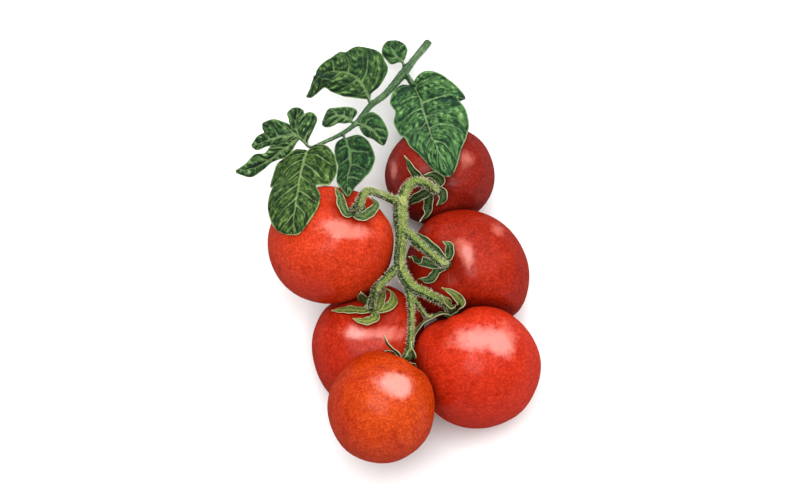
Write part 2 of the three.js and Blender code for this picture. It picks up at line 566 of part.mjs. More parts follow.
// The middle layer of a blade: rows from base to tip, columns from left margin to right margin.
function bladeRows({ midrib, left, right, depths, over, rows }) {
  const middle = spline(midrib);
  const margins = [spline(left), spline(right)];
  const layer = [];
  for (let row = 0; row <= rows; row += 1) {
    const along = row / rows;
    const centre = middle.getPoint(along);
    const tangent = middle.getTangent(along);
    const line = [];
    for (let column = -bladeColumns; column <= bladeColumns; column += 1) {
      const hand = column < 0 ? 0 : 1;
      const across = Math.abs(column) / bladeColumns;
      const reach = margins[hand].getPoint(along).sub(centre);
      if (reach.length() < narrowest) {
        const sign = hand === 0 ? 1 : -1;
        reach.set(-tangent.y, tangent.x).multiplyScalar(sign * narrowest);
      }
      const spot = centre.clone().addScaledVector(reach, across);
      const swing = 2 * Math.PI * marginWaves * along + marginWaveShift * hand;
      const arch = archShare * reach.length() * across ** 2;
      const free = readAlong(depths, along) + marginWave * across * Math.sin(swing) - arch;
      const toward = over
        ? softMax(free, frontOf(fruits[over], spot.x, spot.y, restOnFruit), drapeSoftness)
        : free;
      line.push(new THREE.Vector3(spot.x, spot.y, toward));
    }
    layer.push(line);
  }
  return layer;
}

function makeBlade(leaflet) {
  const layer = bladeRows(leaflet);
  const wide = layer[0].length;
  const sheet = new THREE.BufferGeometry();
  sheet.setAttribute('position', new THREE.Float32BufferAttribute(
    layer.flat().flatMap((spot) => spot.toArray()), 3));
  const index = [];
  for (let row = 0; row < layer.length - 1; row += 1) {
    for (let column = 0; column < wide - 1; column += 1) {
      const a = row * wide + column;
      index.push(a, a + wide, a + 1, a + 1, a + wide, a + wide + 1);
    }
  }
  sheet.setIndex(index);
  sheet.computeVertexNormals();
  const count = layer.length * wide;
  const positions = [];
  for (const offset of [bladeHalfThickness, -bladeHalfThickness]) {
    for (let i = 0; i < count; i += 1) {
      const spot = new THREE.Vector3().fromBufferAttribute(sheet.attributes.position, i);
      const normal = new THREE.Vector3().fromBufferAttribute(sheet.attributes.normal, i);
      positions.push(...spot.addScaledVector(normal, offset).toArray());
    }
  }
  const rim = [];
  for (let column = 0; column < wide; column += 1) rim.push(column);
  for (let row = 1; row < layer.length; row += 1) rim.push(row * wide + wide - 1);
  for (let column = wide - 2; column >= 0; column -= 1) rim.push(count - wide + column);
  for (let row = layer.length - 2; row > 0; row -= 1) rim.push(row * wide);
  const faces = [...index];
  for (let i = 0; i < index.length; i += 3) {
    faces.push(index[i] + count, index[i + 2] + count, index[i + 1] + count);
  }
  rim.forEach((here, i) => {
    const next = rim[(i + 1) % rim.length];
    faces.push(here, next, next + count, here, next + count, here + count);
  });
  const geometry = new THREE.BufferGeometry();
  geometry.setAttribute('position', new THREE.Float32BufferAttribute(positions, 3));
  geometry.setIndex(faces);
  return geometry;
}

function makeLeaflet(name, blades) {
  return makeMesh(`leaflet_${name}`, fuse(blades.map(makeBlade)), leafColour, 0.65);
}

Object.values(fruits).forEach(prepareFruit);
contacts.forEach(addContact);

const truss = new THREE.Group();
for (const [name, fruit] of Object.entries(fruits)) {
  truss.add(makeFruit(name, fruit), makeCalyx(name, fruit));
}
truss.add(makeTrussStem(), makeStalk());
for (const [name, blades] of Object.entries(leaflets)) truss.add(makeLeaflet(name, blades));
truss.rotation.x = tipBack;
truss.position.copy(bunchMiddle).negate();

const part = new THREE.Group();
part.add(truss);
export default part;
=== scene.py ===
import math

import bpy
import numpy as np
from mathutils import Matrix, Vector


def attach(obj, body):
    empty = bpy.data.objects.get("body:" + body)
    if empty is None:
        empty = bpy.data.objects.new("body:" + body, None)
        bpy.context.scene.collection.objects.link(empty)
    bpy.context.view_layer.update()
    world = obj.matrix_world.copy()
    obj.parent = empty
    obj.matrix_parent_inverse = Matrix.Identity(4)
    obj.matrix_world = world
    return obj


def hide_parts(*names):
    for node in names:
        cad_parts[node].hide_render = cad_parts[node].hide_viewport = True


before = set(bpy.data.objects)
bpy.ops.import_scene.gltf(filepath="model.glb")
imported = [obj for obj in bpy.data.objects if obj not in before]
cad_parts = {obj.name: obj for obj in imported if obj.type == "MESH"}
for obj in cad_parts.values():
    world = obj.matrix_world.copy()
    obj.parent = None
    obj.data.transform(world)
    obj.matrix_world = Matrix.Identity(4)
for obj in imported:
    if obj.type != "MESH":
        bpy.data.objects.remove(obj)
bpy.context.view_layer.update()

dice = np.random.default_rng(11)

# The bunch is set out as an eye sees it that looks down at it: [right, up, toward] in millimetres.
layout = {"eyeHeight": 70, "bunchMiddle": -7.8, "tableSink": 0.8, "gap": 0.4, "curveSteps": 33}
eyeSin = math.sin(math.radians(layout["eyeHeight"]))
eyeCos = math.cos(math.radians(layout["eyeHeight"]))
mm = 0.001


def toFrame(spots):
    right, up, toward = np.asarray(spots, float).reshape(-1, 3).T
    y = up * eyeSin - toward * eyeCos - layout["bunchMiddle"]
    return np.stack([right, y, up * eyeCos + toward * eyeSin], 1) * mm


def toFrameWay(way):  # a direction, without the bunch's place
    return unit(toFrame([way])[0] - toFrame([(0, 0, 0)])[0])


def unit(vectors):
    vectors = np.asarray(vectors, float)
    return vectors / np.maximum(np.linalg.norm(vectors, axis=-1, keepdims=True), 1e-9)


def readAlong(values, along):  # evenly spaced values, read at shares of the way
    return np.interp(np.asarray(along) * (len(values) - 1), np.arange(len(values)), values)


def hill(values, width, middle=0):  # 1 at the middle, falling away over the width
    return np.exp(-((values - middle) / width) ** 2)


def turned(places, angle):  # about the line to the eye
    cos, sin = math.cos(angle), math.sin(angle)
    x, y, z = places.T
    return np.stack([cos * x - sin * y, sin * x + cos * y, z], 1)


def smoothPath(spots, count):  # a curve through the spots, cut into even steps
    spots = np.asarray(spots, float)
    ends = [2 * spots[0] - spots[1], 2 * spots[-1] - spots[-2]]
    padded = np.vstack([ends[0], spots, ends[1]])
    fine = []
    share = np.linspace(0, 1, layout["curveSteps"])[:, None]
    for p0, p1, p2, p3 in zip(padded, padded[1:], padded[2:], padded[3:]):
        pairs = (p0, p1), (p1, p2), (p2, p3)
        d0, d1, d2 = (max(np.linalg.norm(b - a) ** 0.5, 1e-3) for a, b in pairs)
        start = ((p1 - p0) / d0 - (p2 - p0) / (d0 + d1) + (p2 - p1) / d1) * d1
        end = ((p2 - p1) / d1 - (p3 - p1) / (d1 + d2) + (p3 - p2) / d2) * d1
        cubic = 2 * p1 - 2 * p2 + start + end
        square = -3 * p1 + 3 * p2 - 2 * start - end
        fine.append(p1 + start * share + square * share ** 2 + cubic * share ** 3)
    fine = np.vstack(fine)
    reached = np.concatenate([[0], np.cumsum(np.linalg.norm(np.diff(fine, axis=0), axis=1))])
    wanted = np.linspace(0, reached[-1], count)
    return np.stack([np.interp(wanted, reached, column) for column in fine.T], 1)


def outlineAt(spots, along):  # a flat curve through the spots, read by their numbers
    spots = np.asarray(spots, float)
    last = len(spots) - 1
    slot = np.clip(np.asarray(along), 0, 1) * last
    before = np.minimum(slot.astype(int), last - 1)
    w = (slot - before)[:, None]
    p0, p1 = spots[np.maximum(before - 1, 0)], spots[before]
    p2, p3 = spots[before + 1], spots[np.minimum(before + 2, last)]
    v0, v1 = (p2 - p0) / 2, (p3 - p1) / 2
    return (2 * p1 - 2 * p2 + v0 + v1) * w ** 3 + (-3 * p1 + 3 * p2 - 2 * v0 - v1) * w ** 2 + v0 * w + p1


def waves(places, size, seed, count=6, gain=1.6):  # smooth unevenness, about -1 to 1
    draw = np.random.default_rng(seed)
    ways = unit(draw.normal(size=(count, 3))) * 2 * math.pi / size
    starts = draw.uniform(0, 2 * math.pi, count)
    return np.sin(np.asarray(places) @ ways.T + starts).mean(1) * gain


# Blender work by hand
def onlyThis(piece):
    bpy.ops.object.select_all(action="DESELECT")
    piece.select_set(True)
    bpy.context.view_layer.objects.active = piece


def addMesh(kind, **sizes):
    bpy.ops.object.select_all(action="DESELECT")
    getattr(bpy.ops.mesh, "primitive_" + kind + "_add")(**sizes)
    return bpy.context.object


def getVertices(piece, kind):
    flat = np.empty(len(piece.data.vertices) * 3, np.float32)
    piece.data.vertices.foreach_get(kind, flat)
    return flat.reshape(-1, 3).astype(float)


def getPlaces(piece):
    return getVertices(piece, "co")


def getNormals(piece):
    return getVertices(piece, "normal")


def setPlaces(piece, places):
    piece.data.vertices.foreach_set("co", np.asarray(places, np.float32).ravel())
    piece.data.update()


def setValues(piece, **layers):  # named values at each vertex, for the materials to read
    for name, values in layers.items():
        values = np.asarray(values, np.float32)
        kind = "FLOAT" if values.ndim == 1 else "FLOAT_VECTOR"
        made = piece.data.attributes.new(name, kind, "POINT")
        made.data.foreach_set("value" if values.ndim == 1 else "vector", values.ravel())


def useModifier(piece, kind, **settings):
    onlyThis(piece)
    bpy.ops.object.modifier_add(type=kind)
    modifier = piece.modifiers[-1]
    for name, value in settings.items():
        setattr(modifier, name, value)
    bpy.ops.object.modifier_apply(modifier=modifier.name)


def joinPieces(pieces, name):
    onlyThis(pieces[0])
    for piece in pieces:
        piece.select_set(True)
    if len(pieces) > 1:
        bpy.ops.object.join()
    joined = bpy.context.view_layer.objects.active
    joined.name = joined.data.name = name
    return joined


def finishPiece(piece, material, slot, *nodes):
    onlyThis(piece)
    bpy.ops.object.transform_apply(location=True, rotation=True, scale=True)
    bpy.ops.object.shade_smooth()
    piece.data.materials.clear()
    piece.data.materials.append(material)
    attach(piece, "root")
    if nodes:
        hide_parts(*nodes)


# One socket of a material, written as a number
class Wire:
    def __init__(self, tree, socket=None):
        self.tree = tree
        self.socket = socket

    def node(self, kind, settings=None, inputs=None, output=0):
        made = self.tree.nodes.new("ShaderNode" + kind)
        for name, value in (settings or {}).items():
            setattr(made, name, value)
        for name, value in (inputs or {}).items():
            if isinstance(value, Wire):
                self.tree.links.new(value.socket, made.inputs[name])
            else:
                made.inputs[name].default_value = value
        return Wire(self.tree, made.outputs[output])

    def maths(self, operation, *values):
        return self.node("Math", {"operation": operation}, dict(enumerate(values)))

    def __add__(self, other):
        return self.maths("ADD", self, other)

    def __sub__(self, other):
        return self.maths("SUBTRACT", self, other)

    def __rsub__(self, other):
        return self.maths("SUBTRACT", other, self)

    def __mul__(self, other):
        return self.maths("MULTIPLY", self, other)

    __radd__ = __add__
    __rmul__ = __mul__

    def limited(self):
        return self.node("Clamp", None, {"Value": self})

    def between(self, low, high):  # 0 at low, 1 at high, smooth
        settings = {"interpolation_type": "SMOOTHSTEP"}
        return self.node("MapRange", settings, {"Value": self, "From Min": low, "From Max": high})

    def value(self, name):
        return self.node("Attribute", {"attribute_name": name}, None, "Fac")

    def vector(self, name):
        return self.node("Attribute", {"attribute_name": name}, None, "Vector")

    def objectPlace(self):
        return self.node("TexCoord", None, None, "Object")

    def noise(self, place, size, detail=3.0, roughness=0.55):  # size in metres
        inputs = {"Vector": place, "Scale": 1 / size, "Detail": detail, "Roughness": roughness}
        return self.node("TexNoise", None, inputs, "Fac")

    def mixed(self, share, first, second):
        first, second = ((*c, 1) if isinstance(c, tuple) else c for c in (first, second))
        return self.node("Mix", {"data_type": "RGBA"}, {0: share, 6: first, 7: second}, 2)

    def bump(self, height, strength, distance):
        inputs = {"Height": height, "Strength": strength, "Distance": distance}
        return self.node("Bump", None, inputs)


def makeMaterial(name, paint, **fixed):
    material = bpy.data.materials.new(name)
    material.use_nodes = True
    tree = material.node_tree
    shader = tree.nodes["Principled BSDF"]
    for socket, value in fixed.items():
        shader.inputs[socket.replace("_", " ")].default_value = value
    for socket, wire in paint(Wire(tree)).items():
        tree.links.new(wire.socket, shader.inputs[socket.replace("_", " ")])
    return material


# Tomatoes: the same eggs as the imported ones, with dimple, shoulders, flats and fine unevenness
fruits = {
    # back_right's skin colours are painted darker, standing in for the shade of the leaf over it
    "back_right": {"middle": (26, 38.5), "half": (27.5, 25.5, 26), "stemEnd": (-0.1, -0.25, 0.96),
                   "lobes": 5, "phase": 0.4, "skin": (0.16, 0.008, 0.004), "warm": (0.27, 0.016, 0.008),
                   "shines": [(0.5, 0.32, 0.16, 0.2), (-0.84, 0.1, 0.08, 0.25)], "gloss": 0.3},
    "left": {"middle": (-28.5, 3.5), "half": (31.5, 29.5, 30), "stemEnd": (0.39, 0.6, 0.7), "toward": 54,
             "lobes": 6, "phase": 1.1, "skin": (0.39, 0.017, 0.003), "warm": (0.55, 0.043, 0.01),
             "shines": [(0.1, 0.34, 0.3, 0.16), (0.36, 0.22, 0.3, 0.14)], "gloss": 0.5},
    "right": {"middle": (41, -8.5), "half": (32, 28, 29), "turn": -math.pi / 4,
              "stemEnd": (-0.41, 0.1, 0.9), "lobes": 5, "phase": 2.3,
              "skin": (0.24, 0.008, 0.002), "warm": (0.36, 0.02, 0.005),
              "shines": [(-0.16, 0.38, 0.24, 0.16), (-0.04, 0.14, 0.12, 0.18), (0.5, 0.68, 0.14, 0.12)],
              "gloss": 0.26,
              "bulge": {"towards": (-0.9, -0.42, 0), "height": 0.17, "width": 0.6}},
    "low_left": {"middle": (-8, -48), "half": (30, 32.2, 22), "stemEnd": (0, 0.65, 0.76),
                 "lobes": 5, "phase": 0.2, "skin": (0.33, 0.011, 0.002), "warm": (0.47, 0.026, 0.006),
                 "shines": [(-0.25, 0.24, 0.28, 0.12), (0.3, 0.22, 0.26, 0.12)], "gloss": 0.42},
    "low_right": {"middle": (45, -57.5), "half": (31.2, 31, 33), "stemEnd": (-0.44, 0.895, 0.03),
                  "lobes": 6, "phase": 0.9, "skin": (0.38, 0.014, 0.003), "warm": (0.54, 0.03, 0.008),
                  "shines": [(-0.06, 0.46, 0.5, 0.2), (0.42, 0.36, 0.2, 0.24)], "gloss": 0.85,
                  "bulge": {"towards": (-0.89, 0.46, 0), "height": 0.1, "width": 0.4}},
    "front": {"middle": (-3.3, -77.4), "half": (26.7, 28.1, 27), "stemEnd": (0.44, 0.87, -0.2),
              "toward": 79.9, "lobes": 4, "phase": 1.7,
              "skin": (0.36, 0.018, 0.001), "warm": (0.56, 0.062, 0.007),
              "shines": [(0.16, 0.46, 0.36, 0.18), (0.4, 0.34, 0.2, 0.2)], "gloss": 1.0},
}
contacts = [("back_right", "right", 0.6), ("right", "low_right", 0.85), ("left", "low_left", 0.15),
            ("low_left", "front", 0.7), ("low_left", "low_right", 1.3), ("right", "low_left", 1),
            ("low_right", "front", 0.6)]
# paintedLightFrom: the direction the painted light on the skins comes from
skin = {"dimple": 0.13, "dimpleWidth": 0.3, "lobe": 0.018, "lobeAngle": 0.6, "lobeWidth": 0.4,
        "scar": 0.015, "scarWidth": 0.25, "squeezeSoftness": 1.0, "crowding": 0.2,
        "segments": 160, "rings": 110, "crease": 0.0035, "creases": 13, "creaseWidth": 0.3,
        "creaseFrom": 0.2, "creaseSway": 2.5, "creaseSpiral": 3, "uneven": 0.35, "unevenSize": 24,
        "paintedLightFrom": (0.25, 0.35, 0.9), "coat": 0.05, "highlightPaint": 0.3, "shineColour": (0.9, 0.2, 0.12),
        "scarColour": (0.12, 0.06, 0.03)}


def prepareFruit(fruit):
    half = np.array(fruit["half"], float)
    reachDown = math.hypot(half[1] * eyeCos, half[2] * eyeSin)
    resting = (reachDown - layout["tableSink"] - fruit["middle"][1] * eyeCos) / eyeSin
    fruit["half"] = half
    fruit["turn"] = fruit.get("turn", 0)
    fruit["centre"] = np.array([*fruit["middle"], fruit.get("toward", resting)])
    fruit["axis"] = unit(fruit["stemEnd"])
    fruit["sideA"] = unit(np.cross((0, 1, 0), fruit["axis"]))
    fruit["sideB"] = np.cross(fruit["axis"], fruit["sideA"])
    fruit["squeezes"] = []


def reachOf(fruit, direction):
    return np.linalg.norm(turned(direction[None], -fruit["turn"])[0] * fruit["half"])


def addContact(first, second, share):
    normal = second["centre"] - first["centre"]
    distance = np.linalg.norm(normal)
    normal = normal / distance
    overlap = reachOf(first, normal) + reachOf(second, normal) + layout["gap"] - distance
    first["squeezes"].append((normal, reachOf(first, normal) - share * overlap))
    second["squeezes"].append((-normal, reachOf(second, normal) - (1 - share) * overlap))


def skinPoints(fruit, directions, fine=False):
    directions = unit(directions)
    polar = np.arccos(np.clip(directions @ fruit["axis"], -1, 1))
    around = np.arctan2(directions @ fruit["sideB"], directions @ fruit["sideA"])
    factor = 1 - skin["dimple"] * hill(polar, skin["dimpleWidth"])
    shoulder = hill(polar, skin["lobeWidth"], skin["lobeAngle"])
    factor += skin["lobe"] * np.cos(fruit["lobes"] * around + fruit["phase"]) * shoulder
    factor -= skin["scar"] * hill(math.pi - polar, skin["scarWidth"])
    if "bulge" in fruit:
        bulge = fruit["bulge"]
        angle = np.arccos(np.clip(directions @ unit(bulge["towards"]), -1, 1))
        factor += bulge["height"] * hill(angle, bulge["width"])
    if fine:
        rim = hill(polar, skin["creaseWidth"], skin["dimpleWidth"])
        rim = rim * np.minimum(polar / skin["creaseFrom"], 1)
        wander = skin["creaseSway"] * np.sin(2 * around + fruit["phase"]) + skin["creaseSpiral"] * polar
        uneven = 0.5 + 0.5 * np.sin(3 * around + 5 * fruit["phase"])
        furrow = np.maximum(np.cos(skin["creases"] * around + wander), 0) ** 2
        factor -= skin["crease"] * rim * uneven * furrow
    places = turned(directions, -fruit["turn"]) * fruit["half"] * factor[:, None]
    places = turned(places, fruit["turn"])
    if fine:
        seed = int(fruit["phase"] * 10)
        places += directions * (skin["uneven"] * waves(places, skin["unevenSize"], seed))[:, None]
    for normal, limit in fruit["squeezes"]:
        height = places @ normal
        softness = skin["squeezeSoftness"]
        kept = -softness * np.logaddexp(-height / softness, -limit / softness)
        places += np.outer(kept - height, normal)
    return places + fruit["centre"]


def frontOf(fruit, right, up, clear):  # how far towards the eye the fruit's front lies
    offset = np.stack([right - fruit["centre"][0], up - fruit["centre"][1], 0 * right], 1)
    across, high, _ = turned(offset, -fruit["turn"]).T
    half = fruit["half"] + clear
    share = (across / half[0]) ** 2 + (high / half[1]) ** 2
    rise = np.where(share < 1, np.sqrt(np.maximum(1 - share, 0)), 1 - share)
    return fruit["centre"][2] + half[2] * rise


def tomatoSkin(name, fruit):
    # deep: the darker skin colour, used for painted shade and for dark mottle
    deep = tuple(c * 0.5 for c in fruit["skin"])

    def paint(start):
        place = start.objectPlace()
        polar, crown, shine = (start.value(key) for key in ("polar", "crown", "shine"))
        broad = start.noise(place, 0.03, 2)
        mottle = start.noise(place, 0.004, 4, 0.7)
        grain = start.noise(place, 0.0012, 3, 0.75)
        # painted light: the skin is warmer and lighter where it faces the light (crown), besides random
        # flushes
        flush = (broad.between(0.35, 0.7) * 0.45 + mottle.between(0.35, 0.7) * 0.35
                 + crown.between(0.2, 1.0) * 0.35)
        colour = start.mixed(flush.limited(), fruit["skin"], fruit["warm"])
        # painted shade: darker on the side turned from the light, with dark grain and mottle
        shaded = (crown.between(0.55, -0.4) * 0.5 + grain.between(0.57, 0.42) * 0.42
                  + mottle.between(0.48, 0.3) * 0.3)
        colour = start.mixed(shaded.limited(), colour, deep)
        # pale specks, shown only on the lit side as painted light
        specks = grain.between(0.56, 0.66) * crown.between(0.0, 0.5) * 0.2
        colour = start.mixed(specks, colour, tuple(min(1, c * 1.6 + 0.03) for c in fruit["warm"]))
        # painted shade: the skin darkens round the stem end, under the calyx
        calyxShade = polar.between(0.17, 0.08) * 0.6
        colour = start.mixed(calyxShade, colour, deep)
        tip = polar.between(0.985, 0.995)
        colour = start.mixed(tip, colour, skin["scarColour"])
        # painted highlight: the shine spots are painted towards shineColour in the skin's colour, and the
        # coat is glossier there
        spots = (shine + (mottle - 0.5) * 1.1 + (broad - 0.5) * 0.8).between(0.2, 1.1)
        colour = start.mixed(spots * skin["highlightPaint"], colour, skin["shineColour"])
        coat = spots * (fruit["gloss"] - skin["coat"]) + skin["coat"]
        height = grain * 0.6 + mottle * 0.8
        return {"Base_Color": colour, "Roughness": 0.55 + mottle * 0.15, "Coat_Weight": coat,
                "Normal": start.bump(height, 0.4, 0.00025)}

    return makeMaterial("skin_" + name, paint, Coat_Roughness=0.25, Coat_IOR=2.3, IOR=1.4,
                        Specular_IOR_Level=0.0)


def makeTomato(name, fruit):
    piece = addMesh("uv_sphere", segments=skin["segments"], ring_count=skin["rings"], radius=1)
    piece.name = piece.data.name = "ripe_tomato_" + name
    x, y, z = getPlaces(piece).T
    polar = np.arccos(np.clip(z, -1, 1))
    polar = polar - skin["crowding"] * np.sin(2 * polar)  # rows crowd at the dimple
    around = np.arctan2(y, x)
    frameAxes = np.stack([fruit["sideA"], fruit["sideB"], fruit["axis"]])
    local = np.stack([np.sin(polar) * np.cos(around), np.sin(polar) * np.sin(around), np.cos(polar)], 1)
    ways = local @ frameAxes
    places = toFrame(skinPoints(fruit, ways, fine=True))
    places[:, 2] = np.maximum(places[:, 2], 0)  # flat where it lies on the table
    setPlaces(piece, places)
    # shine: where each fruit's painted highlight and glossier coat lie
    shine = 0 * x
    for right, up, wide, high in fruit["shines"]:
        off = ((ways[:, 0] - right) / wide) ** 2 + ((ways[:, 1] - up) / high) ** 2
        shine += np.exp(-off) * (ways[:, 2] > 0)
    # crown: how much the skin faces the painted light
    setValues(piece, polar=polar / math.pi, crown=ways @ unit(skin["paintedLightFrom"]), shine=shine)
    bpy.ops.object.mode_set(mode="EDIT")
    bpy.ops.mesh.select_all(action="SELECT")
    bpy.ops.mesh.normals_make_consistent(inside=False)
    bpy.ops.object.mode_set(mode="OBJECT")
    finishPiece(piece, tomatoSkin(name, fruit), "tomato_skin", "tomato_" + name)


for fruit in fruits.values():
    prepareFruit(fruit)
for first, second, share in contacts:
    addContact(fruits[first], fruits[second], share)
for name, fruit in fruits.items():
    makeTomato(name, fruit)
print("tomatoes made:", len(fruits))

# Calyxes: a ring in each dimple and its sepals, each a route of [right, up, lift above the skin]
calyxes = {
    "back_right": [
        [(22.3, 32.4, 2.2), (17, 35.8, 1.4), (13.5, 41, 2.4), (10.6, 46.8, 4)],
        [(23.8, 33, 2.2), (26.2, 35.4, 1.5), (23.4, 38.2, 1.9), (18.5, 38.6, 3.2)],
        [(24.6, 31.5, 2.2), (26.8, 30, 1.5), (27.2, 27.2, 2.6), (24.4, 24.8, 3.6)],
        [(22.8, 30.4, 2.2), (20.8, 28, 1.8), (20, 22, 2.2), (15.8, 15, 3)],
        [(22.2, 31.2, 2.2), (17, 28.8, 1.5), (13.5, 27, 1.6), (10.5, 24.6, 1.8)],
    ],
    "left": [
        [(-17.8, 19.9, 2.2), (-20.2, 19.6, 1.5), (-22.8, 23, 1.8), (-24, 26, 2.6), (-26.3, 32.6, 14)],
        [(-16.6, 19.4, 2.2), (-14.4, 18.4, 1.6), (-12.8, 20.6, 2), (-12, 24, 2.6)],
        [(-16, 19.6, 2.2), (-12.4, 18, 1.7), (-8.6, 20, 2.4), (-5.8, 23.8, 14), (-8.2, 27.2, 12)],
        [(-16, 21.2, 2.2), (-13.8, 24, 1.4), (-12.4, 26.8, 1.6)],
    ],
    "right": [
        [(29, -4, 2.2), (30.4, -0.5, 1.5), (30.7, 3, 2.6), (28.2, 4.4, 3.8)],
        [(28.2, -4.2, 2.2), (24.5, 0, 1.5), (20, 4.4, 2.6), (15.6, 7.9, 5)],
        [(28, -6, 2.2), (22.5, -5.9, 1.5), (18.5, -4.6, 2.4), (10.4, -2.4, 9.5)],
        [(28.4, -7, 2.2), (24.6, -8.8, 1.4), (23.8, -11.4, 1.8), (21.8, -13.4, 2.2), (18.4, -12.6, 3.2)],
    ],
    "low_left": [
        [(-8.8, -27, 2.2), (-11.5, -25, 1.8), (-13.2, -21.8, 1.6), (-14, -19.4, 2.2)],
        [(-9.4, -28.2, 2.2), (-13, -28.6, 1.4), (-18.7, -29.2, 1.5), (-27.1, -30, 2.2)],
        [(-7, -29.6, 2.2), (-6, -31.8, 1.6), (-9, -34.2, 1.5), (-12.5, -34.8, 1.8), (-17, -34, 2.4)],
        [(-6.8, -28, 2.2), (-4.8, -27, 1.8), (-3.8, -24.2, 2), (-1.9, -19.8, 2.2)],
        [(-6, -28.6, 2.2), (-2.6, -28.4, 1.6), (1, -27.2, 1.8), (2.4, -24.4, 2), (0.8, -21.2, 2.4),
         (-1.6, -20.8, 3.4)],
    ],
    "low_right": [
        [(32.4, -31.2, 1), (31.6, -27.6, 5.6), (29.2, -24.2, 9.6), (26.6, -21.4, 11.2)],
        [(33, -31.2, 1), (36.2, -28.6, 4.4), (36.2, -24.8, 7.6), (32, -20.4, 10.2), (26.8, -17.8, 10.8)],
        [(31.4, -31.6, 1), (26.4, -31.5, 2), (21.2, -33.6, 2.2), (16.2, -37.2, 2.4),
         (13.3, -41.4, 2.4), (12.6, -46, 2.4)],
        [(31.4, -32, -1), (24.5, -31.4, -3.5), (17.5, -34.4, -6)],
    ],
    "front": [
        [(7, -54, 0), (4, -50, 0.5), (0, -46.4, 1.5), (-1.6, -41.6, 3)],
        [(9, -54.3, 0.8), (11.6, -52, 2.6), (12.2, -48.4, 4), (11.8, -44.4, 5.4)],
        [(7, -54.2, -0.6), (1.8, -49.8, -5), (-1.6, -49.4, -7)],
        [(8, -55.2, -1.5), (11.8, -55.8, -5), (14.2, -57.8, -8.5)],
    ],
}
facesAway = ("low_right", "front")  # their lifts count from the level of the ring
ring = {"radius": 3.1, "height": 2.4, "lift": 1.0, "lobes": 5, "lobe": 0.09, "segments": 48, "rings": 24,
        "sideCurve": 0.75, "topCurve": 0.8, "socket": 0.5, "socketAt": 0.74, "socketWidth": 0.1,
        "pale": 0.5, "paleAt": 0.93, "paleWidth": 0.05, "darkAt": 0.72, "darkWidth": 0.12}
sepal = {"halfWidth": 2.2, "narrowing": 0.12, "widthStart": 0.2, "widthRun": 0.78, "across": 14,
         "along": 44, "samples": 200, "tip": 0.85, "tipPower": 12, "thickness": 0.75, "thinEdge": 0.35,
         "ridge": 0.45, "ridgeWidth": 0.2, "cup": 0.7, "cupPower": 2.4, "cupFrom": 0.1, "frill": 0.22,
         "frillWaves": 17, "ripple": 0.06, "rippleWaves": 23, "twist": 0.5, "turnFrom": 3, "turnOver": 5,
         "turnMost": 1.6, "outlineShare": 0.97, "midWidth": 0.12, "dark": 0.6, "darkLength": 0.12,
         "litFrom": (0.5, 0.5, 0.7)}


def ringTop(fruit):
    bottom = fruit["axis"] * fruit["half"] * (1 - skin["dimple"]) + fruit["centre"]
    return bottom + fruit["axis"] * (ring["lift"] + ring["height"])


def liftedPlace(fruit, right, up, lift):
    flat = turned(np.array([[right - fruit["centre"][0], up - fruit["centre"][1], 0]]), -fruit["turn"])[0]
    flat = flat / fruit["half"]
    share = flat @ flat
    spot = np.array([float(right)]), np.array([float(up)])
    others = [other for other in fruits.values() if other is not fruit]
    front = max(frontOf(other, *spot, lift)[0] for other in others)
    if share > sepal["outlineShare"]:
        return np.array([right, up, max(fruit["centre"][2] + lift, front)])
    flat[2] = math.sqrt(1 - share)
    direction = turned(flat[None], fruit["turn"])[0]
    place = skinPoints(fruit, direction[None])[0] + direction * lift
    return np.array([place[0], place[1], max(place[2], front)])


def makeSepal(fruit, places, lifts):
    piece = addMesh("grid", x_subdivisions=sepal["across"], y_subdivisions=sepal["along"], size=2)
    x, y, _ = getPlaces(piece).T
    along = (y + 1) / 2
    route = smoothPath(places, sepal["samples"])
    slope = unit(np.gradient(route, axis=0))
    spot = np.stack([readAlong(column, along) for column in route.T], 1)
    tangent = unit(np.stack([readAlong(column, along) for column in slope.T], 1))
    outward = unit(spot - fruit["centre"])
    lifted = (readAlong(lifts, along) - sepal["turnFrom"]) / sepal["turnOver"]
    outward[:, 2] += np.clip(lifted, 0, sepal["turnMost"])  # a sepal that stands off faces the eye
    side = unit(np.cross(outward, tangent))
    up = unit(np.cross(tangent, side))
    angle = sepal["twist"] * dice.uniform(-1, 1) * along ** 2
    cos, sin = np.cos(angle)[:, None], np.sin(angle)[:, None]
    side, up = side * cos + up * sin, up * cos - side * sin
    wide = sepal["narrowing"] + np.sin(math.pi * (sepal["widthStart"] + sepal["widthRun"] * along))
    half = sepal["halfWidth"] * wide * (1 - sepal["tip"] * along ** sepal["tipPower"])
    phase = dice.uniform(0, 6, 2)
    edge = x ** 4 * np.sin(along * sepal["frillWaves"] + np.where(x > 0, *phase)) * sepal["frill"]
    high = sepal["ridge"] * hill(x, sepal["ridgeWidth"]) * (1 - along) ** 0.5
    bend = np.sin(math.pi * np.minimum(along + sepal["cupFrom"], 1))
    high += sepal["cup"] * np.abs(x) ** sepal["cupPower"] * bend + edge
    spread = x * half * (1 + sepal["ripple"] * np.sin(along * sepal["rippleWaves"] + phase[0]))
    places = spot + side * spread[:, None] + up * high[:, None]
    setPlaces(piece, toFrame(places))
    # shade: painted shade at the base of each sepal
    setValues(piece, rim=np.clip(np.abs(x) ** 5 + along ** 10 * 0.8, 0, 1), mid=hill(x, sepal["midWidth"]),
              along=along, shade=sepal["dark"] * hill(along, sepal["darkLength"]))
    group = piece.vertex_groups.new(name="full")
    for i, share in enumerate(1 - (1 - sepal["thinEdge"]) * np.abs(x) ** 3):
        group.add([i], float(share), "REPLACE")
    useModifier(piece, "SOLIDIFY", thickness=sepal["thickness"] * mm, offset=0, vertex_group="full",
                use_even_offset=False)
    piece.vertex_groups.clear()
    return piece


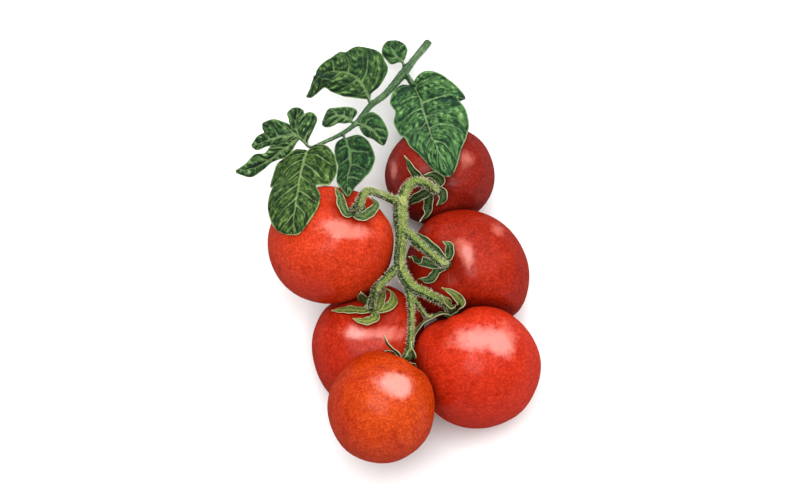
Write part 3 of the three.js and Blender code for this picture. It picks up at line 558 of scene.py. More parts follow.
def makeRing(fruit):
    piece = addMesh("uv_sphere", segments=ring["segments"], ring_count=ring["rings"], radius=1)
    x, y, z = getPlaces(piece).T
    around = np.arctan2(y, x)
    out = np.hypot(x, y) ** ring["sideCurve"]
    flat = out * ring["radius"] * (1 + ring["lobe"] * np.cos(ring["lobes"] * around))
    high = np.sign(z) * np.abs(z) ** ring["topCurve"] * ring["height"] / 2
    high -= ring["socket"] * hill(out, ring["socketWidth"], ring["socketAt"]) * (z > 0)
    middle = ringTop(fruit) - fruit["axis"] * ring["height"] / 2
    places = np.outer(flat * np.cos(around), fruit["sideA"])
    places = places + np.outer(flat * np.sin(around), fruit["sideB"]) + np.outer(high, fruit["axis"]) + middle
    setPlaces(piece, toFrame(places))
    # shade: painted shade in the ring's socket groove
    setValues(piece, rim=ring["pale"] * hill(out, ring["paleWidth"], ring["paleAt"]) * (z > 0),
              shade=hill(out, ring["darkWidth"], ring["darkAt"]), mid=0 * x, along=0 * x)
    return piece


def paintCalyx(name):
    deep, fresh, pale = calyxTones[name]

    def paint(start):
        place = start.objectPlace()
        patch = start.noise(place, 0.004, 3)
        fibre = start.noise(place, 0.0009, 3, 0.7)
        rim, mid, along = (start.value(key) for key in ("rim", "mid", "along"))
        shade, lit = start.value("shade"), start.value("lit")
        # painted light: the sepals are lighter where they face the light (lit), besides random patches
        colour = start.mixed(patch.between(0.35, 0.7) * 0.6 + lit.between(0.1, 0.8) * 0.4, deep, fresh)
        colour = start.mixed(fibre.between(0.48, 0.68) * 0.55, colour, pale)
        colour = start.mixed(along.between(0.7, 1.0) * 0.4, colour, pale)
        colour = start.mixed(mid * 0.5, colour, pale)
        # painted shade: darker on the side turned from the light, at the sepals' bases and in the ring's
        # groove, with dark fibre flecks
        dark = lit.between(0.3, -0.3) * 0.7 + shade * 0.9 + fibre.between(0.45, 0.3) * 0.3
        colour = start.mixed(dark.limited(), colour, (0.004, 0.012, 0.004))
        colour = start.mixed(rim.between(0.45, 0.9) * 0.85, colour, (0.48, 0.47, 0.28))
        rough = 0.62 - fibre * 0.2
        return {"Base_Color": colour, "Roughness": rough, "Normal": start.bump(fibre, 0.6, 0.0003)}

    return makeMaterial("calyx_" + name, paint, Specular_IOR_Level=0.12)


calyxTones = {
    "back_right": ((0.002, 0.01, 0.003), (0.01, 0.026, 0.007), (0.1, 0.16, 0.035)),
    "left": ((0.008, 0.032, 0.01), (0.035, 0.075, 0.018), (0.2, 0.27, 0.08)),
    "right": ((0.004, 0.02, 0.007), (0.016, 0.05, 0.014), (0.14, 0.21, 0.06)),
    "low_left": ((0.02, 0.05, 0.008), (0.11, 0.15, 0.024), (0.36, 0.4, 0.1)),
    "low_right": ((0.008, 0.028, 0.006), (0.07, 0.1, 0.018), (0.24, 0.28, 0.07)),
    "front": ((0.008, 0.03, 0.008), (0.045, 0.08, 0.018), (0.22, 0.25, 0.08)),
}
for name, routes in calyxes.items():
    fruit = fruits[name]
    level = ringTop(fruit)[2] - ring["height"] * (fruit["axis"][2] - 0.5)
    made = [makeRing(fruit)]
    for route in routes:
        if name in facesAway:
            places = [np.array([right, up, level + lift]) for right, up, lift in route]
        else:
            places = [liftedPlace(fruit, *spot) for spot in route]
        made.append(makeSepal(fruit, places, [lift for _, _, lift in route]))
    piece = joinPieces(made, "curled_calyx_" + name)
    setValues(piece, lit=getNormals(piece) @ toFrameWay(sepal["litFrom"]))
    finishPiece(piece, paintCalyx(name), "calyx", "calyx_" + name)
print("calyxes made:", len(calyxes))

# Truss stem and leaf stalk: round stems along routes, grown together
stem = {"voxel": 0.42, "smoothing": 5, "ridges": 7, "stalkRidges": 5, "ridge": 0.1, "ridgeRadius": 2.5,
        "twist": 0.08, "pimple": 0.09, "pimples": (3.1, 5, 10), "finePimples": (1.3, 6, 14),
        "aboveTable": 0.3, "fibreAround": 2, "fibreAlong": 0.12, "intoRing": -0.9, "lastBend": 3.5,
        "sections": 90, "samples": 160, "batch": 4000, "aside": (0.3, 0.2, 1), "knuckle": 4.5,
        "litFrom": (0.75, 0.5, 0.45)}


def intoRing(name):
    fruit = fruits[name]
    return [ringTop(fruit) + fruit["axis"] * reach for reach in (stem["lastBend"], stem["intoRing"])]


trussRoutes = [
    ([(6.2, 26.5, 51), (6.2, 18, 54), (6.8, 8.5, 58), (5.7, -3, 61.5), (5.7, -9, 62.5)],
     [2.9, 3.7, 3.1, 2.9, 2.8]),
    ([(6, 16, 54), (5.5, 13.5, 40), (5.4, 13.5, 20), (5, 16, 3), (5, 26, -4.8), (6.5, 41, -10.4),
      (10.5, 56, -15.8), (11.5, 70, -19.6), (13, 79, -15.5), (12.1, 84.4, -11.5), (10.8, 86.6, -13),
      (9.6, 87.9, -17.3)],
     [2.8, 2.6, 2.6, 2.6, 2.6, 2.7, 2.7, 2.6, 2.4, 1.5, 1.5]),
    ([(6.5, 24.5, 52), (9.2, 31.5, 49.5), (13, 35, 47), (18.5, 34.6, 45.5), *intoRing("back_right")],
     [2.8, 2.6, 2.3, 2.3, 2, 2.2]),
    ([(6, 24.5, 52), (-1.9, 28, 60), (-7.6, 30, 68.5), (-11.6, 29.6, 75.5), *intoRing("left")],
     [2.6, 2.2, 2, 2.2, 2, 2.2]),
    ([(7, 10.5, 57.5), (10.5, 8.5, 59.5), (14.6, 4.6, 61.5), (20, 0, 64), *intoRing("right")],
     [2.6, 2.6, 2.2, 1.9, 2.1, 2.3]),
    ([(5.5, -6.5, 62), (-1.5, -14, 63.6), (-6.4, -19.4, 64.6), *intoRing("low_left")],
     [2.6, 2.1, 2.2, 1.9, 2.2]),
    ([(5.7, -7, 62), (8.5, -13, 62.8), (12, -17.6, 63.2), (18.3, -20.3, 63.2), (23, -22.8, 62),
      *intoRing("low_right")], [2.8, 3, 2.9, 2.4, 2.3, 2, 2.2]),
    ([(9.6, -16, 62.5), (11.4, -26, 65), (11.6, -37, 69), (10.9, -45, 72.5), *intoRing("front")],
     [1.9, 1.7, 1.6, 1.6, 1.7, 1.9]),
    ([(10.5, -17.5, 63), (12.6, -23, 63), (15.4, -27, 62.6), (18.6, -31.4, 61.6), (20.6, -32.6, 61.2),
      (22, -31, 61)], [1.8, 1.4, 1.2, 1.1, 0.9, 0.6]),
    ([(6.2, 23.4, 52), (6.2, 25.6, 52)], [3.5, 3.5]),
]
stalkLine = [(20.3, 105.5), (13.6, 97.5), (7.8, 90), (-2, 78.5), (-8.5, 73.5), (-16.5, 64), (-23, 59.3),
             (-29, 56.3), (-38.6, 52)]
stalkRise = {"cutEnd": 3.2, "climb": 0.95}


def onStalk(right, up):
    height = stalkRise["cutEnd"] + stalkRise["climb"] * (stalkLine[0][1] - up)
    return (right, up, (height - up * eyeCos) / eyeSin)


stalkRoutes = [
    ([onStalk(*spot) for spot in stalkLine], [2, 1.7, 2.3, 1.8, 1.6, 1.3, 1.1, 0.9]),
    ([onStalk(8.2, 90), (10.6, 87, -9), (12.1, 84.2, -6.8), (13.4, 81.6, -3.2)], [1.8, 1.3, 1.2, 0.9]),
    ([onStalk(8, 91), (7.6, 94.6, -19.6), (6.4, 96.6, -20)], [1.1, 0.8, 0.6]),
    ([onStalk(-8, 74), (-9.4, 75.8, 7.6), (-10, 78.2, 7.3)], [1.3, 0.9, 0.7]),
    ([onStalk(-16, 64.6), (-17, 64.8, 21.9), (-19.4, 66.2, 22.4)], [1.2, 0.8, 0.6]),
    ([onStalk(-16.5, 64), (-14.9, 63.7, 23.2), (-12.6, 63.4, 24)], [1.2, 0.8, 0.6]),
    ([onStalk(-23, 59.3), (-21.8, 57.4, 32.1), (-20.8, 55, 34.6)], [1.1, 0.8, 0.6]),
    ([onStalk(-38, 52.2), (-39.9, 52.9, 39.2), (-42, 55, 39.6)], [0.9, 0.8, 0.6]),
]


def stemCurve(route, radii):
    path = smoothPath(route, stem["sections"])
    data = bpy.data.curves.new("stem", "CURVE")
    data.dimensions = "3D"
    data.bevel_depth = mm
    data.bevel_resolution = 5
    data.use_fill_caps = True
    spline = data.splines.new("POLY")
    spline.points.add(len(path) - 1)
    width = readAlong(radii, np.linspace(0, 1, len(path)))
    for point, place, radius in zip(spline.points, toFrame(path), width):
        point.co = (*place, 1)
        point.radius = radius
    curve = bpy.data.objects.new("stem", data)
    bpy.context.scene.collection.objects.link(curve)
    onlyThis(curve)
    bpy.ops.object.convert(target="MESH")
    return bpy.context.object


def nearestOnRoutes(places, routes):  # angle round the nearest stem, way along, radius, way left
    cores, slopes, reach, radii, left = [], [], [], [], []
    for route, width in routes:
        path = toFrame(smoothPath(route, stem["samples"])) / mm
        step = np.gradient(path, axis=0)
        cores.append(path)
        slopes.append(unit(step))
        reach.append(np.cumsum(np.linalg.norm(step, axis=1)))
        radii.append(readAlong(width, np.linspace(0, 1, stem["samples"])))
        left.append(reach[-1][-1] - reach[-1])
    cores, slopes = np.vstack(cores), np.vstack(slopes)
    reach, radii, left = np.concatenate(reach), np.concatenate(radii), np.concatenate(left)
    nearest = np.empty(len(places), int)
    for start in range(0, len(places), stem["batch"]):
        part = places[start:start + stem["batch"]]
        distance = np.linalg.norm(part[:, None] - cores[None], axis=2) - radii
        nearest[start:start + len(part)] = distance.argmin(1)
    slope = slopes[nearest]
    offset = places - cores[nearest]
    offset -= slope * (offset * slope).sum(1)[:, None]
    right = unit(np.cross(slope, stem["aside"]))
    above = np.cross(right, slope)
    angle = np.arctan2((offset * above).sum(1), (offset * right).sum(1))
    return angle, reach[nearest], radii[nearest], left[nearest]


def growStem(name, routes, ridges):
    piece = joinPieces([stemCurve(*route) for route in routes], name)
    useModifier(piece, "REMESH", mode="VOXEL", voxel_size=stem["voxel"] * mm, use_smooth_shade=True)
    useModifier(piece, "SMOOTH", factor=0.5, iterations=stem["smoothing"])
    places = getPlaces(piece) / mm
    angle, reach, radius, left = nearestOnRoutes(places, routes)
    swell = np.cos(ridges * angle + stem["twist"] * reach)
    lift = stem["ridge"] * radius / stem["ridgeRadius"] * swell
    lift += (stem["pimple"] * waves(places, *stem["pimples"])
             + stem["pimple"] * 0.5 * waves(places, *stem["finePimples"]))
    places += getNormals(piece) * lift[:, None]
    places[:, 2] = np.maximum(places[:, 2], stem["aboveTable"])
    setPlaces(piece, places * mm)
    around = [np.cos(angle) * stem["fibreAround"], np.sin(angle) * stem["fibreAround"]]
    setValues(piece, lit=getNormals(piece) @ toFrameWay(stem["litFrom"]), end=hill(left, stem["knuckle"]),
              fibre=np.stack([*around, reach * stem["fibreAlong"]], 1), groove=0.5 + 0.5 * swell)
    return piece


def stemPaint(dark, deep, fresh, pale, darkness):
    def paint(start):
        place = start.objectPlace()
        fibre = start.vector("fibre")
        streak = start.noise(fibre, 0.9, 4, 0.65)
        patch = start.noise(place, 0.006, 3)
        grain = start.noise(place, 0.0009, 3, 0.75)
        groove, lit, end = (start.value(key) for key in ("groove", "lit", "end"))
        colour = start.mixed((streak.between(0.3, 0.65) * 0.65 + groove * 0.35).limited(), deep, fresh)
        shine = patch.between(0.45, 0.75) * 0.3 + grain.between(0.52, 0.66) * 0.55 + end * 0.45
        colour = start.mixed(shine.limited(), colour, pale)
        # painted shade: the stem darkens on the side turned from the light; dark grain flecks follow
        edge = lit + (grain - 0.5) * 0.5 + (streak - 0.5) * 0.35
        colour = start.mixed(edge.between(0.6, 0.28) * darkness, colour, dark)
        colour = start.mixed(grain.between(0.44, 0.34) * 0.3, colour, dark)
        rough = 0.6 - streak * 0.15
        height = streak * 0.7 + grain * 0.8
        return {"Base_Color": colour, "Roughness": rough, "Normal": start.bump(height, 0.7, 0.0004)}

    return paint


# the last number of each set is how strong the painted shade is
stemTones = ((0.006, 0.026, 0.005), (0.045, 0.085, 0.01), (0.14, 0.2, 0.033), (0.46, 0.5, 0.17), 0.94)
stalkTones = ((0.005, 0.024, 0.01), (0.018, 0.055, 0.02), (0.05, 0.11, 0.04), (0.24, 0.36, 0.18), 0.85)
trussPaint = makeMaterial("stem_yellow_green", stemPaint(*stemTones), Specular_IOR_Level=0.12)
stalkPaint = makeMaterial("stalk_blue_green", stemPaint(*stalkTones), Specular_IOR_Level=0.12)
truss = growStem("branching_truss_stem", trussRoutes, stem["ridges"])
finishPiece(truss, trussPaint, "stem", "truss_stem")
stalk = growStem("green_leaf_stalk", stalkRoutes, stem["stalkRidges"])
finishPiece(stalk, stalkPaint, "leaf_stalk", "leaf_stalk")
print("stems grown:", len(truss.data.vertices), len(stalk.data.vertices))

# Short pale hairs on the truss stem, but not on its run behind the fruit
hair = {"count": 5200, "length": (0.8, 2.0), "radius": 0.1, "lean": 0.35, "bury": 0.15, "hidden": 30}


def growHairs(piece):
    cone = addMesh("cone", vertices=3, radius1=1, radius2=0, depth=1, location=(0, 0, 0.5))
    bpy.ops.object.transform_apply(location=True, rotation=False, scale=False)
    shape = getPlaces(cone)
    faces = np.array([list(face.vertices) for face in cone.data.polygons if len(face.vertices) == 3])
    bpy.data.objects.remove(cone)
    spots, normals = getPlaces(piece), getNormals(piece)
    shown = np.flatnonzero(spots @ toFrameWay((0, 0, 1)) > hair["hidden"] * mm)
    chosen = dice.choice(shown, hair["count"], replace=False)
    way = unit(normals[chosen] + dice.normal(0, hair["lean"], (hair["count"], 3)))
    side = unit(np.cross(way, unit(dice.normal(size=way.shape))))
    other = np.cross(way, side)
    long = dice.uniform(*hair["length"], hair["count"])[:, None, None] * mm
    wide = hair["radius"] * mm
    places = (spots[chosen] - way * hair["bury"] * mm)[:, None]
    places = places + wide * (shape[None, :, :1] * side[:, None] + shape[None, :, 1:2] * other[:, None])
    places = places + long * shape[None, :, 2:] * way[:, None]
    index = (faces[None] + len(shape) * np.arange(hair["count"])[:, None, None]).reshape(-1, 3)
    data = bpy.data.meshes.new("stem_hairs")
    data.from_pydata(places.reshape(-1, 3).tolist(), [], index.tolist())
    hairs = bpy.data.objects.new("stem_hairs", data)
    bpy.context.scene.collection.objects.link(hairs)
    return hairs


def paintHairs(start):
    tone = start.noise(start.objectPlace(), 0.004, 2)
    return {"Base_Color": start.mixed(tone.between(0.35, 0.65), (0.55, 0.56, 0.3), (0.85, 0.8, 0.6))}


hairs = growHairs(truss)
finishPiece(hairs, makeMaterial("hair_pale", paintHairs, Roughness=0.6), "stem")
print("hairs grown:", hair["count"])

# Leaflets: a midrib and two margins as [right, up], with distances towards the eye along the midrib
leaflets = {
    "top": [{
        "midrib": [(7.2, 95.6), (4.8, 98), (2.8, 100.5), (1.5, 103), (1.3, 106)],
        "left": [(6.6, 95), (4.8, 95.2), (1.4, 94.4), (-1, 96.7), (-3, 99.5), (-2.7, 103.3), (-1, 105.6),
                 (1, 106.3)],
        "right": [(7.8, 96), (8.5, 97.5), (9.8, 101), (8.8, 103.9), (6, 105.9), (3.5, 106.3), (1.7, 106.4)],
        "depths": [-20, -20.5, -21.5, -23, -25], "veins": 3}],
    "large_right": [{
        "midrib": [(12.6, 83), (16, 77.5), (18, 70), (20.3, 63), (22, 57.3), (25, 51.5), (30.5, 37.7)],
        "left": [(11.6, 82.4), (6.5, 83.2), (3, 80.3), (1, 74.5), (3.7, 70), (3, 64.2), (6, 58.5),
                 (8.3, 57.3), (11, 52.8), (15.7, 48.7), (19.7, 44.2), (22.6, 41.2), (27.2, 38.4),
                 (30.3, 37.5)],
        "right": [(13, 84.6), (16.2, 89.4), (20.9, 90.9), (26.6, 89.2), (31.7, 85.5), (36.4, 80.9),
                  (38.7, 76.9), (35, 76.9), (38.7, 71.7), (40.4, 64.2), (39.2, 57.4), (36.4, 51),
                  (34.7, 44.2), (32.3, 39), (30.7, 37.6)],
        "depths": [-5.5, 3, 13, 24, 34, 41, 45], "over": "back_right", "veins": 6,
        "folds": [[(25, 74), (29.5, 77.6), (34.6, 76.6), (39.5, 77.2)],
                  [(3, 76), (4.8, 79.4), (7.2, 81.2), (10.6, 82.2)]]}],
    "large_left": [{
        "midrib": [(-9.6, 76.6), (-11.5, 81.5), (-15.5, 87), (-21, 90), (-28, 90.5), (-34, 88),
                   (-37.5, 84), (-40.8, 78)],
        "left": [(-10.4, 76.4), (-13.6, 76.9), (-18.2, 77.5), (-22.8, 78.3), (-28, 80.3), (-31, 82.3),
                 (-33.2, 81.6), (-35.8, 79.4), (-38.3, 77.5), (-40.6, 77.6)],
        "right": [(-8.8, 77), (-8, 80), (-3.8, 83.8), (-0.1, 91.2), (-1.5, 95.8), (-3.8, 99.8),
                  (-9, 102.1), (-15.9, 103), (-21, 100.4), (-24, 100.4), (-28.5, 97.5), (-32, 95.3),
                  (-35.4, 91.8), (-36, 88.5), (-37.4, 85.5), (-38.8, 82), (-41, 78.4)],
        "depths": [7.5, 7, 5, 3.5, 1.5, -1, -3.5, -7], "veins": 6,
        "folds": [[(-37.4, 88.2), (-34.5, 88), (-32.6, 86.9), (-30, 86.6), (-26.5, 85.1)][::-1]]}],
    "middle_left": [{
        "midrib": [(-18.3, 65.4), (-20.8, 67.2), (-24.5, 68.4), (-29, 67.3), (-32.8, 64.6)],
        "left": [(-18.6, 64.5), (-21.6, 64.5), (-25.6, 64.3), (-29, 62.6), (-32, 62.8), (-33, 64.2)],
        "right": [(-17.7, 66.4), (-15.6, 70), (-17, 72), (-21, 72.7), (-25.6, 72.3), (-29.6, 71.7),
                  (-31.3, 68.8), (-33, 65.2)],
        "depths": [22, 23, 23, 22, 19.5], "veins": 4}],
    "middle_right": [{
        "midrib": [(-14.2, 63.6), (-11, 63), (-7.3, 60.5), (-4.5, 57), (-2.4, 53.5)],
        "left": [(-14, 64.6), (-11.8, 68.6), (-7.8, 70), (-3.8, 67.7), (-1, 63), (0.2, 59), (-1, 55),
                 (-2.1, 53.4)],
        "right": [(-14.4, 62.4), (-11.8, 58.5), (-7.2, 56.2), (-3.8, 53.9), (-2.7, 53.3)],
        "depths": [23.5, 24.5, 26.5, 28.5, 30], "veins": 4}],
    "lower": [{
        "midrib": [(-21.5, 56.6), (-20, 53), (-18.8, 48), (-18.8, 43), (-20, 37), (-20.3, 32), (-20, 27.8)],
        "left": [(-22.4, 57), (-25.7, 54.5), (-26.8, 50), (-26.2, 47), (-25, 42), (-25.6, 35.5),
                 (-23.8, 32), (-21.5, 29), (-20.3, 27.6)],
        "right": [(-20.4, 57), (-15.3, 58.6), (-11.3, 56.8), (-8.4, 52.8), (-6.4, 47), (-8.4, 41),
                  (-12, 36.8), (-16.5, 32), (-19.6, 27.8)],
        "depths": [33, 37, 43, 49, 57, 63.5, 68.5], "over": "left", "veins": 5}],
    "lobed_side": [
        {"midrib": [(-40.6, 53.4), (-44, 57), (-46, 61), (-46, 66), (-45, 71.8)],
         "left": [(-41.2, 53.2), (-45, 57), (-48, 60.6), (-48.8, 63.7), (-49.7, 66.4), (-50.4, 69.4),
                  (-48.3, 71.7), (-45.2, 72.4)],
         "right": [(-39.8, 54), (-39.6, 56.8), (-36.9, 62.3), (-35.4, 66.4), (-36.9, 69.2), (-39.6, 70),
                   (-41.7, 69.2), (-42.4, 71), (-44.6, 72.4)],
         "depths": [39.5, 39.2, 38.6, 38, 36.5], "veins": 3},
        {"midrib": [(-45, 59), (-54, 57.5), (-61, 55.5), (-68, 53)],
         "left": [(-45.5, 58), (-50, 55.4), (-55, 53.4), (-58.7, 53), (-61.7, 52.3), (-65.3, 50.9),
                  (-68, 52.4)],
         "right": [(-45, 60.2), (-48.8, 63.4), (-52.5, 65.3), (-56.6, 66.4), (-60.2, 65.8),
                   (-62.9, 63.9), (-61, 60.3), (-64.9, 58.2), (-68.5, 53.6)],
         "depths": [39.4, 38, 36, 33], "veins": 4},
        {"midrib": [(-44.4, 57.4), (-50, 53), (-58, 47), (-66, 42.5), (-76, 40.3)],
         "left": [(-44.2, 56.2), (-46, 54), (-48.8, 49.5), (-52.5, 47), (-58, 44.9), (-63, 40.8),
                  (-68.5, 37.5), (-76.2, 39.6)],
         "right": [(-45.4, 59.6), (-52, 57), (-58.5, 53), (-61.7, 49.5), (-66.7, 48.8), (-71.3, 44.2),
                   (-76.4, 40.9)],
         "depths": [38.2, 36.6, 34, 31.5, 29], "veins": 4},
    ],
    "lobed_end": [{
        "midrib": [(-40, 50.6), (-41.2, 48), (-42.5, 43.5), (-44, 37), (-45.3, 28), (-46.6, 19), (-48, 9)],
        "left": [(-41, 50.8), (-46.5, 51), (-50.6, 47.6), (-55.2, 44), (-57, 39.3), (-58.7, 32.7),
                 (-57.6, 32), (-59, 28.3), (-59.8, 22.8), (-59, 17.3), (-57, 12.7), (-53.3, 9.5),
                 (-48.6, 8.4)],
        "right": [(-39.2, 51.2), (-35.9, 53.6), (-32.2, 53.6), (-29.5, 52.2), (-27.2, 49), (-25.8, 44.8),
                  (-25.4, 40.2), (-28, 34.8), (-30.4, 33.4), (-35.6, 33.2), (-34, 29.2), (-33.8, 26.5),
                  (-35, 21.9), (-38.7, 16), (-42, 11.3), (-44.4, 8.9), (-47.4, 8.4)],
        "depths": [42, 46, 52, 60, 69, 74, 77], "over": "left", "veins": 7}],
}
leaf = {"narrowest": 0.5, "wave": 0.35, "waves": 4, "waveShift": 2, "arch": 0.12, "rest": 1.25,
        "drape": 1.5, "thickness": 0.6, "cell": 0.42, "tangentStep": 0.005, "firstSeed": 20,
        "sweep": 5.5, "sweepCurve": 1.25, "sweepWidth": 12, "sweepLimits": (0.3, 1.6), "crowding": 0.92,
        "drift": 0.12, "unevenDrift": 0.05, "driftSize": 9, "veinWidth": 0.42, "vein": 0.85,
        "ribWidth": 0.9, "crossVeins": 2.1, "crossShift": 0.35, "crossDrift": 0.25, "crossSize": 6,
        "branch": 0.35, "branchWidth": 0.38, "quilt": 0.7, "pillowEdge": 1.6, "crossEdge": 1.3,
        "crossDepth": 0.6, "puff": 0.42, "puffSize": 2.7, "puffs": 12, "stretch": 0.36, "flowApart": 20,
        "groove": 0.15, "edgeFade": 1.5, "slimFade": 4, "rimWidth": 0.75, "foldSamples": 60,
        "foldFade": 12, "foldWidth": 3.5, "foldShade": 3.2, "litFrom": (-0.2, 0.8, 0.55)}
tints = {
    "top": ((0.007, 0.035, 0.01), (0.05, 0.13, 0.035), (0.2, 0.34, 0.13)),
    "large_right": ((0.004, 0.028, 0.01), (0.05, 0.135, 0.035), (0.28, 0.45, 0.18)),
    "large_left": ((0.004, 0.022, 0.006), (0.033, 0.082, 0.018), (0.2, 0.33, 0.11)),
    "middle_left": ((0.005, 0.027, 0.008), (0.045, 0.115, 0.03), (0.24, 0.38, 0.15)),
    "middle_right": ((0.003, 0.022, 0.006), (0.035, 0.1, 0.025), (0.2, 0.33, 0.13)),
    "lower": ((0.0015, 0.014, 0.004), (0.018, 0.07, 0.014), (0.17, 0.32, 0.11)),
    "lobed_side": ((0.003, 0.02, 0.005), (0.035, 0.09, 0.022), (0.25, 0.38, 0.15)),
    "lobed_end": ((0.004, 0.02, 0.003), (0.045, 0.095, 0.015), (0.3, 0.42, 0.15)),
}


def foldsAt(spots, folds):  # how much each place is raised beside a fold, and how dark it is below one
    raised, dark = np.zeros(len(spots)), np.zeros(len(spots))
    for fold in folds:
        path = outlineAt(fold, np.linspace(0, 1, leaf["foldSamples"]))
        ahead = unit(np.gradient(path, axis=0))
        offset = spots[:, None, :] - path[None]
        distance = np.linalg.norm(offset, axis=2)
        nearest = distance.argmin(1)
        rows = np.arange(len(spots))
        away, ahead, offset = distance[rows, nearest], ahead[nearest], offset[rows, nearest]
        above = ahead[:, 0] * offset[:, 1] - ahead[:, 1] * offset[:, 0] > 0
        reached = np.clip(nearest / leaf["foldFade"], 0, 1)
        raised += np.where(above, np.exp(-away / leaf["foldWidth"]), 0) * reached
        dark += np.where(above, 0, hill(away, leaf["foldShade"])) * reached
    return raised, dark


def bladePlaces(blade, x, along):  # x from -1 at the left margin to 1 at the right
    centre = outlineAt(blade["midrib"], along)
    ahead = outlineAt(blade["midrib"], np.minimum(along + leaf["tangentStep"], 1))
    behind = outlineAt(blade["midrib"], np.maximum(along - leaf["tangentStep"], 0))
    tangent = unit(ahead - behind)
    hand = (x > 0).astype(float)
    margin = np.where(hand[:, None] > 0, outlineAt(blade["right"], along), outlineAt(blade["left"], along))
    reach = margin - centre
    width = np.linalg.norm(reach, axis=1)
    sideways = np.stack([-tangent[:, 1], tangent[:, 0]], 1) * np.where(hand > 0, -1, 1)[:, None]
    narrow = width < leaf["narrowest"]
    reach = np.where(narrow[:, None], sideways * leaf["narrowest"], reach)
    width = np.maximum(width, leaf["narrowest"])
    across = np.abs(x)
    spot = centre + reach * across[:, None]
    swing = 2 * math.pi * leaf["waves"] * along + leaf["waveShift"] * hand
    free = readAlong(blade["depths"], along) + leaf["wave"] * across * np.sin(swing)
    free -= leaf["arch"] * width * across ** 2
    if "over" in blade:
        front = frontOf(fruits[blade["over"]], spot[:, 0], spot[:, 1], leaf["rest"])
        free = leaf["drape"] * np.logaddexp(free / leaf["drape"], front / leaf["drape"])
    return np.column_stack([spot, free]), width


def upNormals(piece):
    normals = getNormals(piece)
    return -normals if normals[:, 2].mean() < 0 else normals


def makeBlade(blade, seed):
    length = np.linalg.norm(np.diff(np.array(blade["midrib"]), axis=0), axis=1).sum()
    shares = np.linspace(0, 1, 30)
    middle = outlineAt(blade["midrib"], shares)
    reaches = [outlineAt(blade[hand], shares) - middle for hand in ("left", "right")]
    widest = np.linalg.norm(reaches, axis=2).max()
    rows, columns = int(length / leaf["cell"]), int(widest / leaf["cell"])
    piece = addMesh("grid", x_subdivisions=2 * columns, y_subdivisions=rows, size=2)
    x, y, _ = getPlaces(piece).T
    along = (y + 1) / 2
    places, width = bladePlaces(blade, x, along)
    draw = np.random.default_rng(seed)
    side = np.where(x > 0, 1, -1)
    across = np.abs(x)

    # Side veins sweep forward from the midrib, in turn left and right, with cross veins between
    drift = (leaf["drift"] * np.sin(3 * along * math.pi + side * draw.uniform(0, 3))
             + leaf["unevenDrift"] * waves(places, leaf["driftSize"], seed))
    forward = leaf["sweep"] * across ** leaf["sweepCurve"] / length
    forward = forward * np.clip(width / leaf["sweepWidth"], *leaf["sweepLimits"])
    phase = (along ** leaf["crowding"] - forward) * blade["veins"] + drift + np.where(side > 0, 0.5, 0.0)
    off = np.abs(phase - np.round(phase)) * length / blade["veins"]
    lateral = hill(off, leaf["veinWidth"] * (1.25 - across)) * (1 - across ** 6)
    rib = hill(across * width, leaf["ribWidth"] * (1.15 - along))
    cellSize = length / blade["veins"]
    cross = (across * width / cellSize * leaf["crossVeins"] + leaf["crossShift"] * np.round(phase)
             + leaf["crossDrift"] * waves(places, leaf["crossSize"], seed + 3))
    between = np.abs(cross - np.round(cross)) * cellSize / leaf["crossVeins"]
    branch = hill(between, leaf["branchWidth"]) * (1 - lateral) * leaf["branch"]
    vein = np.clip(rib + lateral * leaf["vein"] + branch, 0, 1)

    # The blade puffs up between the veins and lies flat at its edge
    pillow = (1 - hill(off, leaf["pillowEdge"])) * (1 - hill(between, leaf["crossEdge"]) * leaf["crossDepth"])
    pillow *= 1 - hill(across * width, leaf["pillowEdge"])
    edge = (1 - across) * width
    fade = np.clip(edge / leaf["edgeFade"], 0, 1) * np.clip(width / leaf["slimFade"], 0, 1)
    flow = np.stack([phase * cellSize, across * width * leaf["stretch"], leaf["flowApart"] * side], 1)
    raised, dark = foldsAt(places[:, :2], blade.get("folds", []))
    lift = leaf["quilt"] * pillow + leaf["puff"] * waves(flow, leaf["puffSize"], seed + 9, leaf["puffs"])
    lift = lift * fade - leaf["groove"] * rib + raised
    setPlaces(piece, toFrame(places))
    flat = upNormals(piece)
    setPlaces(piece, toFrame(places) + flat * lift[:, None] * mm)
    # relief: how each bump faces the light, painted into the colour as light and shade
    relief = (upNormals(piece) - flat) @ toFrameWay(leaf["litFrom"])
    setValues(piece, relief=relief, vein=vein, flow=flow, shadow=dark, rise=np.clip(pillow * fade, 0, 1),
              rim=np.clip(1 - edge / leaf["rimWidth"], 0, 1))
    useModifier(piece, "SOLIDIFY", thickness=leaf["thickness"] * mm, offset=0, use_even_offset=False)
    return piece


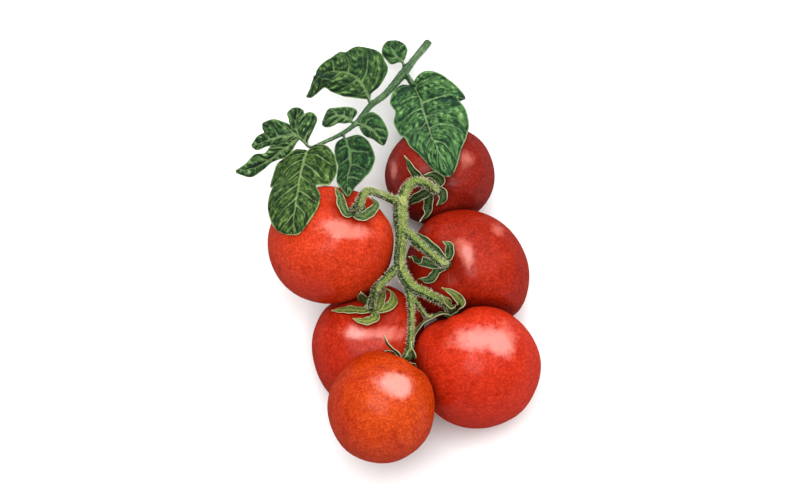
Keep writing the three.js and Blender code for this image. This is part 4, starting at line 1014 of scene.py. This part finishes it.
def leafPaint(name):
    deep, light, pale = tints[name]
    darkest = tuple(c * 0.4 for c in deep)

    def paint(start):
        place = start.objectPlace()
        vein, rise, rim = (start.value(key) for key in ("vein", "rise", "rim"))
        relief, shadow = start.value("relief"), start.value("shadow")
        patch = start.noise(place, 0.007, 3)
        crinkle = start.noise(place, 0.002, 3, 0.65)
        streaks = start.noise(start.vector("flow"), 1.1, 4, 0.7)
        grain = start.noise(place, 0.0008, 2, 0.7)
        # painted light and shade from the bumps (relief), random streaks and crinkles, and painted shade in
        # the troughs beside the veins (rise)
        tone = relief * 1.5 + (streaks - 0.5) * 2.5 + (crinkle - 0.5) * 0.9 + (patch - 0.5) * 0.6
        tone = tone + (rise - 0.6) * 0.45 + 0.47
        colour = start.mixed(tone.between(0.05, 0.65), deep, light)
        colour = start.mixed(tone.between(0.2, -0.2) * 0.7, colour, darkest)
        colour = start.mixed(tone.between(0.5, 1.2) * 0.8, colour, pale)
        colour = start.mixed(grain.between(0.55, 0.72) * rise * 0.25, colour, pale)
        ribs = (vein * 0.75 + (streaks - 0.5) * 1.4).limited() * vein.between(0.15, 0.6) * 0.85
        colour = start.mixed(ribs, colour, tuple(c * 0.85 for c in pale))
        colour = start.mixed(shadow.between(0.15, 0.9) * 0.85, colour, (0.006, 0.026, 0.015))
        colour = start.mixed(rim * patch.between(0.3, 0.55) * 0.85, colour, pale)
        rough = 0.5 + crinkle * 0.2
        height = crinkle * 0.4 + streaks + grain * 0.3
        return {"Base_Color": colour, "Roughness": rough, "Normal": start.bump(height, 0.8, 0.0006)}

    return makeMaterial("leaf_" + name, paint, Specular_IOR_Level=0.12)


seed = leaf["firstSeed"]
for name, blades in leaflets.items():
    made = []
    for blade in blades:
        made.append(makeBlade(blade, seed))
        seed += 1
    piece = joinPieces(made, "quilted_leaflet_" + name)
    finishPiece(piece, leafPaint(name), "leaf", "leaflet_" + name)
print("leaflets made:", len(leaflets))

# Studio: pale floor, soft light from the top of the picture and from the eye, and the camera
studio = {"lens": 1000, "pictureWidth": 0.4, "aim": (6, 1, 40), "floor": 6.0, "sky": 0.65,
          "lights": [
              {"name": "key", "towards": (0.25, 0.72, 0.62), "distance": 0.9, "size": (1.9, 1.25),
               "power": 10.6},
              {"name": "fill", "towards": (-0.1, 0.1, 1), "distance": 1.3, "size": (0.9, 0.9),
               "power": 15},
          ]}


def placeLooking(piece, place, goal):
    piece.location = Vector(place)
    piece.rotation_euler = (Vector(goal) - Vector(place)).to_track_quat("-Z", "Y").to_euler()


aim = toFrame([studio["aim"]])[0]
floor = addMesh("plane", size=studio["floor"], location=(0, 0, 0))
floor.name = "pale_floor"


def paintFloor(start):
    haze = start.noise(start.objectPlace(), 0.4, 2)
    return {"Base_Color": start.mixed(haze, (0.93, 0.93, 0.92), (0.95, 0.95, 0.945))}


floor.data.materials.append(makeMaterial("pale_floor", paintFloor, Roughness=0.7))
for light in studio["lights"]:
    bpy.ops.object.light_add(type="AREA")
    lamp = bpy.context.object
    lamp.name = light["name"]
    lamp.data.shape = "RECTANGLE"
    lamp.data.size, lamp.data.size_y = light["size"]
    lamp.data.energy = light["power"]
    placeLooking(lamp, aim + toFrameWay(light["towards"]) * light["distance"], aim)
    lamp.visible_camera = False
world = bpy.data.worlds.new("studio")
bpy.context.scene.world = world
world.use_nodes = True
background = world.node_tree.nodes["Background"]
background.inputs["Color"].default_value = (1, 1, 1, 1)
background.inputs["Strength"].default_value = studio["sky"]
bpy.context.scene.view_settings.view_transform = "Standard"
bpy.ops.object.camera_add()
camera = bpy.context.object
camera.data.lens = studio["lens"]
camera.data.clip_end = 100
distance = studio["pictureWidth"] * studio["lens"] / camera.data.sensor_width
placeLooking(camera, aim + toFrameWay((0, 0, 1)) * distance, aim)
bpy.context.scene.camera = camera
print("studio ready")
